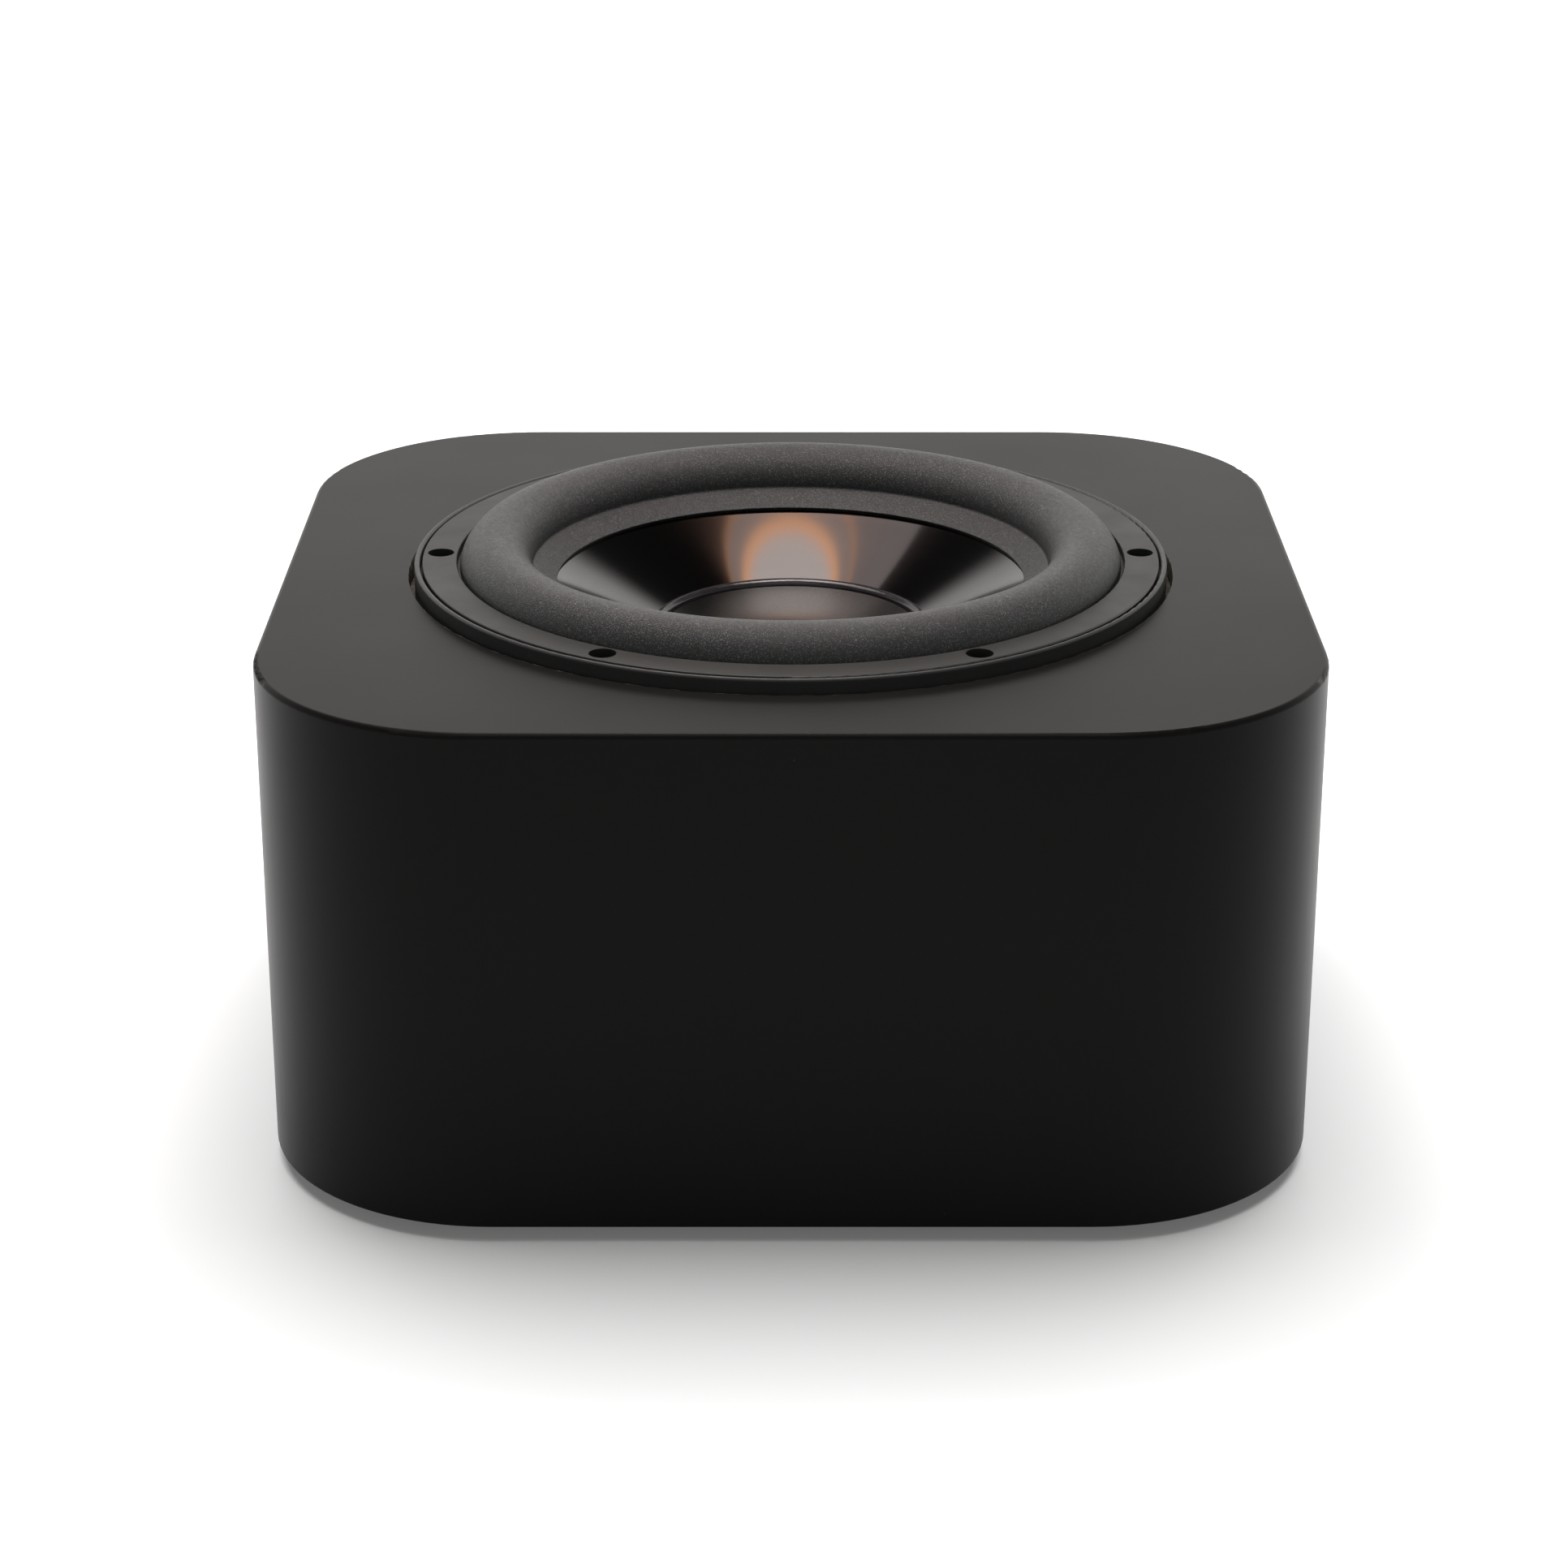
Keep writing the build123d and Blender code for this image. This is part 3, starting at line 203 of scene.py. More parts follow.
def specks(tree, place, scale, size, share):
    """Small round specks, on a share of the cells of a random grid."""
    cells = add(tree, "ShaderNodeTexVoronoi", {"Vector": place, "Scale": scale, "Randomness": 1.0})
    near = spread(tree, cells.outputs["Distance"], size * 0.5, size, 1.0, 0.0)
    split = add(tree, "ShaderNodeSeparateColor", {"Color": cells.outputs["Color"]})
    chosen = maths(tree, "LESS_THAN", split.outputs[0], share)
    return maths(tree, "MULTIPLY", near, chosen)


def radius_and_height(tree, place):
    parts = add(tree, "ShaderNodeSeparateXYZ", {"Vector": place})
    flat = add(tree, "ShaderNodeCombineXYZ", {"X": parts.outputs[0], "Y": parts.outputs[1], "Z": 0.0})
    length = add(tree, "ShaderNodeVectorMath", {0: flat.outputs[0]}, operation="LENGTH")
    return length.outputs["Value"], parts.outputs[2]


def moulded(name, colour, rough, grain=900.0, relief=0.03, **constants):
    """Moulded plastic: a fine grain, with a little variation in tone and gloss."""
    material, tree, shader, place = start(name, **constants)
    cloud = noise(tree, place, 60.0)
    fine = noise(tree, place, grain, 2.0)
    darker = tuple(channel * 0.8 for channel in colour)
    tree.links.new(mix(tree, cloud, darker, colour), shader.inputs["Base Color"])
    tree.links.new(spread(tree, cloud, 0.3, 0.7, rough - 0.04, rough + 0.05), shader.inputs["Roughness"])
    bumps(tree, shader, (fine, relief * MM))
    return material


def rubber(name, colour, rough):
    """Rubber: a matt grain with a dusty bloom."""
    material, tree, shader, place = start(name, Specular_IOR_Level=0.4)
    cloud = noise(tree, place, 25.0, 4.0)
    fine = noise(tree, place, 1600.0, 3.0, 0.7)
    bloom = tuple(channel * 1.5 + 0.006 for channel in colour)
    tree.links.new(mix(tree, spread(tree, cloud, 0.45, 0.8), colour, bloom), shader.inputs["Base Color"])
    tree.links.new(spread(tree, cloud, 0.3, 0.7, rough - 0.05, rough + 0.06), shader.inputs["Roughness"])
    bumps(tree, shader, (fine, 0.04 * MM))
    return material


def metal(name, colour, rough, stretch=(1.0, 1.0, 1.0), scale=300.0, relief=0.01):
    """Bare or plated metal: tool marks along the stretch, and faint staining."""
    material, tree, shader, place = start(name, Metallic=1.0)
    marks = noise(tree, place, scale, 4.0, 0.6, stretch)
    stain = noise(tree, place, 40.0, 4.0)
    duller = tuple(channel * 0.72 for channel in colour)
    tree.links.new(mix(tree, spread(tree, stain, 0.4, 0.75), colour, duller), shader.inputs["Base Color"])
    tree.links.new(spread(tree, marks, 0.3, 0.7, rough * 0.75, rough * 1.35), shader.inputs["Roughness"])
    bumps(tree, shader, (marks, relief * MM))
    return material


def powder(name, colour, rough, relief=0.05):
    """Powder coat or paint: a fine pebbled skin."""
    material, tree, shader, place = start(name, Specular_IOR_Level=0.35)
    pebble = noise(tree, place, 1300.0, 2.0)
    cloud = noise(tree, place, 30.0, 3.0)
    lighter = tuple(channel * 1.3 + 0.002 for channel in colour)
    tree.links.new(mix(tree, cloud, colour, lighter), shader.inputs["Base Color"])
    tree.links.new(spread(tree, pebble, 0.3, 0.7, rough - 0.06, rough + 0.08), shader.inputs["Roughness"])
    bumps(tree, shader, (pebble, relief * MM), (cloud, 0.02 * MM))
    return material


def satin_lacquer():
    """Satin dark lacquer: faint orange peel, a few dust specks."""
    material, tree, shader, place = start("satin_lacquer", Specular_IOR_Level=0.065)
    cloud = noise(tree, place, 9.0, 3.0)
    peel = noise(tree, place, 420.0, 2.0)
    grain = noise(tree, place, 1500.0, 2.0)
    dust = specks(tree, place, 60.0, 0.022, 0.16)
    tone = mix(tree, cloud, (0.0040, 0.0037, 0.0035), (0.0054, 0.0050, 0.0047))
    tree.links.new(mix(tree, dust, tone, (0.055, 0.052, 0.048)), shader.inputs["Base Color"])
    satin = spread(tree, cloud, 0.3, 0.7, 0.30, 0.35)
    tree.links.new(maths(tree, "ADD", satin, maths(tree, "MULTIPLY", dust, 0.3)), shader.inputs["Roughness"])
    bumps(tree, shader, (peel, 0.012 * MM), (grain, 0.004 * MM))
    return material


def raw_board():
    """Unpainted fibreboard: short fibres and small pits."""
    material, tree, shader, place = start("raw_board", Specular_IOR_Level=0.2, Roughness=0.9)
    fibre = noise(tree, place, 260.0, 4.0, 0.7, (1.0, 1.0, 3.0))
    cloud = noise(tree, place, 30.0, 3.0)
    tone = mix(tree, fibre, (0.15, 0.10, 0.065), (0.42, 0.31, 0.21))
    tone = mix(tree, maths(tree, "MULTIPLY", cloud, 0.5), tone, (0.2, 0.14, 0.09))
    tree.links.new(tone, shader.inputs["Base Color"])
    bumps(tree, shader, (fibre, 0.35 * MM))
    return material


def top_board():
    """The top board: lacquer outside, bare rough fibreboard inside the driver's rebate."""
    material = satin_lacquer()
    material.name = "top_board"
    tree = material.node_tree
    lacquer = tree.nodes["Principled BSDF"]
    place = add(tree, "ShaderNodeTexCoord").outputs["Object"]
    reach, _ = radius_and_height(tree, place)
    fibre = noise(tree, place, 330.0, 4.0, 0.75)
    ragged = noise(tree, place, 140.0, 3.0)
    uneven = maths(tree, "MULTIPLY", maths(tree, "SUBTRACT", ragged, 0.5), 0.3 * MM)
    edge = maths(tree, "ADD", reach, uneven)
    bare = maths(tree, "LESS_THAN", edge, REBATE_RADIUS)
    rough_board = add(tree, "ShaderNodeBsdfPrincipled", {"Roughness": 0.9, "Specular IOR Level": 0.2})
    tone = mix(tree, spread(tree, fibre, 0.35, 0.65), (0.012, 0.010, 0.009), (0.15, 0.132, 0.115))
    tree.links.new(tone, rough_board.inputs["Base Color"])
    bumps(tree, rough_board, (fibre, 0.4 * MM))
    both = add(tree, "ShaderNodeMixShader", {0: bare, 1: lacquer.outputs[0], 2: rough_board.outputs[0]})
    tree.links.new(both.outputs[0], tree.nodes["Material Output"].inputs["Surface"])
    return material


def surround_rubber():
    """Butyl rubber with a fine grain, a grey bloom and a little dust."""
    material, tree, shader, place = start("surround_rubber", Specular_IOR_Level=0.45)
    cloud = noise(tree, place, 45.0, 4.0)
    fine = noise(tree, place, 2300.0, 3.0, 0.7)
    coarse = noise(tree, place, 700.0, 2.0)
    dust = specks(tree, place, 190.0, 0.12, 0.22)
    tone = mix(tree, cloud, (0.009, 0.0088, 0.0090), (0.015, 0.0147, 0.0150))
    tone = mix(tree, spread(tree, fine, 0.54, 0.68), tone, (0.10, 0.099, 0.097))
    tree.links.new(mix(tree, dust, tone, (0.06, 0.058, 0.055)), shader.inputs["Base Color"])
    tree.links.new(spread(tree, coarse, 0.3, 0.7, 0.40, 0.52), shader.inputs["Roughness"])
    bumps(tree, shader, (fine, 0.24 * MM), (coarse, 0.06 * MM))
    return material


def bronze_metal():
    """Anodised spun aluminium, brushed round the driver's axis."""
    material, tree, shader, place = start(
        "bronze_metal", Metallic=1.0, Anisotropic=0.55, Coat_Weight=0.6, Coat_Roughness=0.07,
    )
    reach, level = radius_and_height(tree, place)
    along = add(tree, "ShaderNodeCombineXYZ", {"X": reach, "Y": level, "Z": 0.0}).outputs[0]
    rings = noise(tree, along, 2600.0, 4.0, 0.7)
    bands = noise(tree, along, 240.0, 2.0, 0.5)
    cloud = noise(tree, place, 30.0, 3.0)
    tone = mix(tree, bands, (0.007, 0.0050, 0.0046), (0.012, 0.0088, 0.0080))
    tone = mix(tree, maths(tree, "MULTIPLY", cloud, 0.3), tone, (0.005, 0.0036, 0.0033))
    tree.links.new(tone, shader.inputs["Base Color"])
    tree.links.new(spread(tree, rings, 0.3, 0.7, 0.13, 0.2), shader.inputs["Roughness"])
    tangent = add(tree, "ShaderNodeTangent", direction_type="RADIAL", axis="Z")
    tree.links.new(tangent.outputs[0], shader.inputs["Tangent"])
    shader.inputs["Anisotropic Rotation"].default_value = 0.25
    bumps(tree, shader, (rings, 0.006 * MM))
    return material


def cap_metal():
    """The cap: the same metal, finely blasted and darker."""
    material, tree, shader, place = start(
        "dark_metal", Metallic=1.0, Anisotropic=0.85, Coat_Weight=0.12, Coat_Roughness=0.2,
    )
    fine = noise(tree, place, 2400.0, 3.0, 0.7)
    cloud = noise(tree, place, 35.0, 3.0)
    tone = mix(tree, cloud, (0.022, 0.0205, 0.0198), (0.032, 0.0300, 0.0290))
    tree.links.new(tone, shader.inputs["Base Color"])
    tree.links.new(spread(tree, fine, 0.3, 0.7, 0.26, 0.34), shader.inputs["Roughness"])
    tangent = add(tree, "ShaderNodeTangent", direction_type="RADIAL", axis="Z")
    tree.links.new(tangent.outputs[0], shader.inputs["Tangent"])
    bumps(tree, shader, (fine, 0.01 * MM))
    return material


def glue_black():
    """The glossy bead of adhesive at the neck, a little uneven."""
    material, tree, shader, place = start("gloss_black", Specular_IOR_Level=0.6)
    wave = noise(tree, place, 90.0, 3.0)
    fine = noise(tree, place, 700.0, 2.0)
    tree.links.new(mix(tree, wave, (0.006, 0.005, 0.006), (0.014, 0.012, 0.013)), shader.inputs["Base Color"])
    tree.links.new(spread(tree, wave, 0.3, 0.7, 0.14, 0.24), shader.inputs["Roughness"])
    bumps(tree, shader, (wave, 0.25 * MM), (fine, 0.01 * MM))
    return material


def felt():
    material, tree, shader, place = start("felt", Roughness=1.0, Specular_IOR_Level=0.1, Sheen_Weight=0.3)
    hair = noise(tree, place, 500.0, 5.0, 0.8, (1.0, 1.0, 0.3))
    tuft = noise(tree, place, 70.0, 4.0)
    tone = mix(tree, hair, (0.03, 0.032, 0.035), (0.16, 0.165, 0.17))
    tree.links.new(tone, shader.inputs["Base Color"])
    bumps(tree, shader, (tuft, 2.0 * MM), (hair, 0.4 * MM))
    return material


def foam(name, colour):
    material, tree, shader, place = start(name, Roughness=0.95, Specular_IOR_Level=0.15)
    pores = add(tree, "ShaderNodeTexVoronoi", {"Vector": place, "Scale": 1400.0}).outputs["Distance"]
    # The base colour is darker toward each pore's centre, where the bump sinks lowest: painted shade in the
    # pits.
    tree.links.new(mix(tree, pores, tuple(c * 0.4 for c in colour), colour), shader.inputs["Base Color"])
    bumps(tree, shader, (pores, 0.2 * MM))
    return material


def woven(name, dark, light):
    """Cloth woven of two sets of threads."""
    material, tree, shader, place = start(name, Roughness=0.85, Specular_IOR_Level=0.2)
    turn = 2 * math.pi / (1.1 * MM)
    parts = add(tree, "ShaderNodeSeparateXYZ", {"Vector": place})
    warp = maths(tree, "SINE", maths(tree, "MULTIPLY", parts.outputs[0], turn))
    weft = maths(tree, "SINE", maths(tree, "MULTIPLY", parts.outputs[1], turn))
    weave = spread(tree, maths(tree, "MULTIPLY", warp, weft), -1.0, 1.0)
    tree.links.new(mix(tree, weave, dark, light), shader.inputs["Base Color"])
    bumps(tree, shader, (weave, 0.15 * MM), (noise(tree, place, 900.0), 0.05 * MM))
    return material


def circuit_green():
    """Solder mask over copper tracks, with pads."""
    material, tree, shader, place = start("board_green", Roughness=0.35)
    turned = add(tree, "ShaderNodeMapping", {"Vector": place, "Rotation": (math.pi / 2, 0, 0)})
    tracks = add(tree, "ShaderNodeTexBrick", {
        "Vector": turned.outputs[0], "Scale": 180.0, "Mortar Size": 0.06,
        "Color1": (0.004, 0.055, 0.022, 1), "Color2": (0.005, 0.07, 0.028, 1),
        "Mortar": (0.012, 0.13, 0.05, 1),
    })
    pads = specks(tree, place, 330.0, 0.3, 0.3)
    tree.links.new(mix(tree, pads, tracks.outputs["Color"], (0.7, 0.68, 0.62)), shader.inputs["Base Color"])
    tree.links.new(maths(tree, "MULTIPLY", pads, 0.9), shader.inputs["Metallic"])
    bumps(tree, shader, (tracks.outputs["Fac"], 0.05 * MM), (pads, 0.2 * MM))
    return material


def clear(name, colour, rough=0.03):
    """Glass or a clear lens, with faint streaks."""
    material, tree, shader, place = start(name, Transmission_Weight=1.0, IOR=1.5)
    streaks = noise(tree, place, 500.0, 2.0, 0.5, (1.0, 0.2, 1.0))
    lighter = tuple(min(1.0, channel * 1.1) for channel in colour)
    tree.links.new(mix(tree, streaks, colour, lighter), shader.inputs["Base Color"])
    tree.links.new(spread(tree, streaks, 0.3, 0.7, rough, rough * 2), shader.inputs["Roughness"])
    bumps(tree, shader, (streaks, 0.01 * MM))
    return material


FINISHES = {
    "satin_lacquer": satin_lacquer,
    "raw_board": raw_board,
    "felt": felt,
    "foot_rubber": lambda: rubber("foot_rubber", (0.014, 0.014, 0.014), 0.75),
    "zinc_steel": lambda: metal("zinc_steel", (0.62, 0.62, 0.60), 0.3),
    "black_steel": lambda: metal("black_steel", (0.045, 0.044, 0.043), 0.38, scale=700.0, relief=0.02),
    "brass": lambda: metal("brass", (0.78, 0.57, 0.25), 0.28),
    "foam_gasket": lambda: foam("foam_gasket", (0.03, 0.03, 0.03)),
    "basket_paint": lambda: powder("basket_paint", (0.017, 0.017, 0.017), 0.45),
    "clamp_plastic": lambda: moulded(
        "clamp_plastic", (0.015, 0.0147, 0.0140), 0.47, 1500.0, 0.02, Specular_IOR_Level=0.33,
    ),
    "surround_rubber": surround_rubber,
    "bronze_metal": bronze_metal,
    "gloss_black": glue_black,
    "dark_metal": cap_metal,
    "coil_former_film": lambda: moulded("coil_former_film", (0.36, 0.2, 0.06), 0.3),
    "copper_wire": lambda: metal("copper_wire", (0.85, 0.42, 0.24), 0.25, (1.0, 1.0, 12.0), 200.0, 0.1),
    "spider_cloth": lambda: woven("spider_cloth", (0.30, 0.20, 0.09), (0.60, 0.45, 0.24)),
    "steel_plate": lambda: metal("steel_plate", (0.55, 0.54, 0.52), 0.35),
    "ferrite": lambda: powder("ferrite", (0.02, 0.02, 0.021), 0.6),
    "bare_aluminium": lambda: metal("bare_aluminium", (0.82, 0.82, 0.83), 0.3, (1.0, 1.0, 8.0)),
    "boot_rubber": lambda: rubber("boot_rubber", (0.012, 0.012, 0.012), 0.6),
    "terminal_plastic": lambda: moulded("terminal_plastic", (0.03, 0.03, 0.032), 0.45),
    "tinsel_braid": lambda: metal("tinsel_braid", (0.72, 0.45, 0.30), 0.4, (1.0, 1.0, 1.0), 1500.0, 0.2),
    "wire_sleeve": lambda: moulded("wire_sleeve", (0.35, 0.02, 0.015), 0.4),
    "plate_coating": lambda: powder("plate_coating", (0.012, 0.012, 0.0125), 0.5, 0.07),
    "housing_steel": lambda: metal("housing_steel", (0.6, 0.6, 0.6), 0.4, (6.0, 1.0, 1.0)),
    "board_green": circuit_green,
    "brass_standoff": lambda: metal("brass_standoff", (0.8, 0.6, 0.28), 0.25),
    "transformer_tape": lambda: moulded("transformer_tape", (0.55, 0.38, 0.05), 0.45),
    "capacitor_sleeve": lambda: moulded("capacitor_sleeve", (0.02, 0.03, 0.09), 0.3),
    "pot_steel": lambda: metal("pot_steel", (0.66, 0.65, 0.62), 0.3),
    "knob_plastic": lambda: moulded("knob_plastic", (0.016, 0.016, 0.017), 0.42, 1100.0, 0.02),
    "switch_case": lambda: moulded("switch_case", (0.018, 0.018, 0.02), 0.5),
    "slider_plastic": lambda: moulded("slider_plastic", (0.022, 0.022, 0.023), 0.45),
    "rocker_plastic": lambda: moulded("rocker_plastic", (0.013, 0.013, 0.014), 0.28, 500.0, 0.01),
    "inlet_plastic": lambda: moulded("inlet_plastic", (0.017, 0.017, 0.018), 0.45),
    "nickel_pins": lambda: metal("nickel_pins", (0.75, 0.73, 0.68), 0.2),
    "fuse_glass": lambda: clear("fuse_glass", (0.9, 0.95, 0.95)),
    "gold_shell": lambda: metal("gold_shell", (0.83, 0.62, 0.26), 0.18),
    "core_plastic": lambda: moulded("core_plastic", (0.5, 0.49, 0.46), 0.4),
    "ring_white": lambda: moulded("ring_white", (0.72, 0.71, 0.68), 0.4),
    "ring_red": lambda: moulded("ring_red", (0.55, 0.025, 0.02), 0.4),
    "led_lens": lambda: clear("led_lens", (0.25, 0.75, 0.35), 0.08),
}
finishes = {}


def finish_for(slot):
    """The material of a slot, made once."""
    if slot not in finishes:
        finishes[slot] = FINISHES[slot]()
    return finishes[slot]


def dress_cad_nodes():
    """Each CAD node keeps its shape and takes the finish of its slot."""
    for node in nodes.values():
        for place in node.material_slots:
            slot = place.material.name.split(".")[0]
            place.material = finish_for(slot)
    for place in nodes["top_baffle"].material_slots:
        place.material = top_board()


# ---------------------------------------------------------------- meshes

def mesh_object(name, points, faces, slot, smooth=True):
    """A new mesh with its finish."""
    mesh = bpy.data.meshes.new(name)
    mesh.from_pydata(points, [], faces)
    mesh.validate()
    if smooth:
        mesh.shade_smooth()
    made = bpy.data.objects.new(name, mesh)
    bpy.context.scene.collection.objects.link(made)
    mesh.materials.append(finish_for(slot))
    return made


def lathe(name, outline, slot, steps=ROUND_STEPS, sharp=50.0):
    """A closed outline of (radius, height) points turned about the driver's axis."""
    points = []
    rows = []
    for radius, height in outline:
        if radius < 1e-7:
            rows.append([len(points)] * steps)
            points.append((0.0, 0.0, height))
            continue
        rows.append(list(range(len(points), len(points) + steps)))
        for step in range(steps):
            angle = 2 * math.pi * step / steps
            points.append((radius * math.cos(angle), radius * math.sin(angle), height))
    rows.append(rows[0])
    faces = []
    for low, high in zip(rows, rows[1:]):
        for step in range(steps):
            after = (step + 1) % steps
            corners = list(dict.fromkeys([low[step], low[after], high[after], high[step]]))
            if len(corners) > 2:
                faces.append(corners)
    made = mesh_object(name, points, faces, slot)
    with bpy.context.temp_override(object=made, active_object=made, selected_editable_objects=[made]):
        bpy.ops.object.shade_smooth_by_angle(angle=math.radians(sharp))
    return made


def bow(centre, radius, start_angle, end_angle, count):
    """Points on an arc, as (radius, height), angles in degrees."""
    points = []
    for index in range(count + 1):
        angle = math.radians(start_angle + (end_angle - start_angle) * index / count)
        points.append((centre[0] + radius * math.cos(angle), centre[1] + radius * math.sin(angle)))
    return points


def straight(first, last, count):
    """Points along a line, without its last point."""
    points = []
    for index in range(count):
        share = index / count
        points.append(tuple(a + (b - a) * share for a, b in zip(first, last)))
    return points


def ride_with_radius(piece):
    """The piece's transform is baked into its mesh."""
    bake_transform(piece)


# ---------------------------------------------------------------- the driver's own pieces

def landing():
    """The line of the surround's inner foot on the cone, from its outer edge inwards."""
    outer = ROLL_CENTRE - ROLL_RADIUS
    top = ROLL_LEVEL - LANDING_STEP
    inner = outer - LANDING_WIDTH
    low = top - LANDING_FALL
    tilt = math.atan2(LANDING_FALL, LANDING_WIDTH)
    under = (inner + FOOT_THICKNESS * math.sin(tilt), low - FOOT_THICKNESS * math.cos(tilt))
    return (outer, top), (inner, low), under


def make_surround():
    """The half roll, its sloping inner foot and its bond under the clamping ring."""
    (outer, top), (inner, low), under = landing()
    centre = (ROLL_CENTRE, ROLL_LEVEL)
    under_radius = ROLL_RADIUS - SURROUND_THICKNESS
    outline = bow(centre, ROLL_RADIUS, 0, 180, 56)
    outline += bow((outer - ROOT_RADIUS, top + ROOT_RADIUS), ROOT_RADIUS, 0, -75, 8)
    outline += straight((outer - 1.4 * MM, top - 0.45 * MM), (inner + 0.4 * MM, low + 0.3 * MM), 8)
    outline += bow((inner + LIP_RADIUS, low - BOND_GAP), LIP_RADIUS, 110, 230, 5)
    outline += straight(under, (ROLL_CENTRE - under_radius, ROLL_LEVEL - 1.2 * MM), 6)
    outline += bow(centre, under_radius, 180, 0, 40)
    outline += [
        (ROLL_CENTRE + under_radius, SEAT + BOND_GAP),
        (BOND_EDGE, SEAT + BOND_GAP),
        (BOND_EDGE, ROLL_LEVEL - BOND_GAP),
    ]
    piece = lathe("surround_roll", outline, "surround_rubber")
    ride_with_radius(piece)
    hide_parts("surround")


def make_cone():
    """The spun cone: its edge under the surround's foot, its straight slope and its neck."""
    _, _, under = landing()
    thickness = CONE_THICKNESS * math.hypot(1, cone_slope())
    rim = (CONE_OUTER - 0.2 * MM, CONE_TOP - 0.1 * MM)
    neck = (FORMER_RADIUS + 0.05 * MM, cone_level(FORMER_RADIUS))
    outline = straight(rim, under, 6)
    outline += straight(under, neck, 40)
    outline += [neck, (neck[0], neck[1] - thickness)]
    outline += [(under[0], under[1] - thickness), (rim[0], rim[1] - thickness)]
    piece = lathe("cone_shell", outline, "bronze_metal", sharp=30.0)
    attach(piece, "cone_assembly")
    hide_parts("cone")


def make_neck_bead():
    """The glossy bead of adhesive between cone and cap, its edges a little uneven."""
    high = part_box("neck_ring")[1]
    inner = NECK_OUTER - BEAD_WIDTH
    slope = cone_slope()
    bed = cone_level(inner)
    top = (inner, high.z - 0.9 * MM)
    outline = []
    for index in range(15):
        share = index / 14
        radius = NECK_OUTER + (inner - NECK_OUTER) * share
        base = cone_level(NECK_OUTER) + (top[1] - cone_level(NECK_OUTER)) * share
        outline.append((radius, base + BEAD_CREST * math.sin(math.pi * share) ** 0.8))
    outline += [(inner, bed), (inner + 2.0 * MM, bed + 2.0 * MM * slope - 0.05 * MM)]
    piece = lathe("neck_bead", outline, "gloss_black", sharp=60.0)
    for vertex in piece.data.vertices:
        angle = math.atan2(vertex.co.y, vertex.co.x)
        reach = math.hypot(vertex.co.x, vertex.co.y)
        if reach > NECK_OUTER - 0.6 * MM:
            ragged = math.sin(7 * angle + 1) + math.sin(19 * angle + 2) + 0.6 * math.sin(43 * angle)
            share = 1 - (0.25 + 0.12 * ragged) * MM / reach
            vertex.co.x *= share
            vertex.co.y *= share
    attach(piece, "cone_assembly")
    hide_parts("neck_ring")


def cone_slope():
    _, _, under = landing()
    return (under[1] - cone_neck_level()) / (under[0] - NECK_OUTER)


def cone_neck_level():
    """The cone's height at the bead's outer edge, from the depth of the cone."""
    _, _, under = landing()
    return under[1] - CONE_DEPTH


def cone_level(radius):
    return cone_neck_level() - (NECK_OUTER - radius) * cone_slope()


def make_cap():
    """The dished cap, as a fine lathe."""
    bowl = (CAP_RIM ** 2 + CAP_DEPTH ** 2) / (2 * CAP_DEPTH)
    centre = CAP_TOP - CAP_DEPTH + bowl
    lip = CAP_RIM - CAP_THICKNESS
    outline = []
    for index in range(CAP_STEPS + 1):
        radius = CAP_RIM * (1 - index / CAP_STEPS)
        outline.append((radius, centre - math.sqrt(bowl ** 2 - radius ** 2)))
    for index in range(CAP_STEPS + 1):
        radius = lip * index / CAP_STEPS
        outline.append((radius, centre - CAP_THICKNESS - math.sqrt(bowl ** 2 - radius ** 2)))
    outline += [(lip, cone_level(lip)), (CAP_RIM, cone_level(CAP_RIM))]
    piece = lathe("cap_dish", outline, "dark_metal", sharp=40.0)
    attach(piece, "cone_assembly")
    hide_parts("dust_cap")


def make_spider():
    """The corrugated cloth disc, its waves rounded, a little glue at its hub."""
    thickness = SPIDER_THICKNESS
    low = (SPIDER_LOW + SPIDER_HIGH - thickness) / 2
    waves_start = FORMER_RADIUS + SPIDER_HUB
    waves_end = SPIDER_OUTER - SPIDER_FLAT
    depth = low - SPIDER_LOW
    upper = [(FORMER_RADIUS, low + 2.2 * thickness), (FORMER_RADIUS + 1.2 * MM, low + 1.5 * thickness)]
    lower = [(FORMER_RADIUS, low)]
    for index in range(SPIDER_STEPS + 1):
        share = index / SPIDER_STEPS
        radius = waves_start + (waves_end - waves_start) * share
        level = low + depth * math.sin(2 * math.pi * SPIDER_WAVES * share)
        upper.append((radius, level + thickness))
        lower.append((radius, level))
    upper.append((SPIDER_OUTER, low + thickness))
    lower.append((SPIDER_OUTER, low))
    piece = lathe("spider_disc", upper + lower[::-1], "spider_cloth", steps=240)
    ride_with_radius(piece)
    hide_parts("spider")


def rounded_line(corners, rounds=4):
    """A line through corners, with the corners cut again and again till it is smooth."""
    for _ in range(rounds):
        smoother = [corners[0]]
        for first, last in zip(corners, corners[1:]):
            smoother += [first.lerp(last, 0.25), first.lerp(last, 0.75)]
        corners = smoother + [corners[-1]]
    return corners


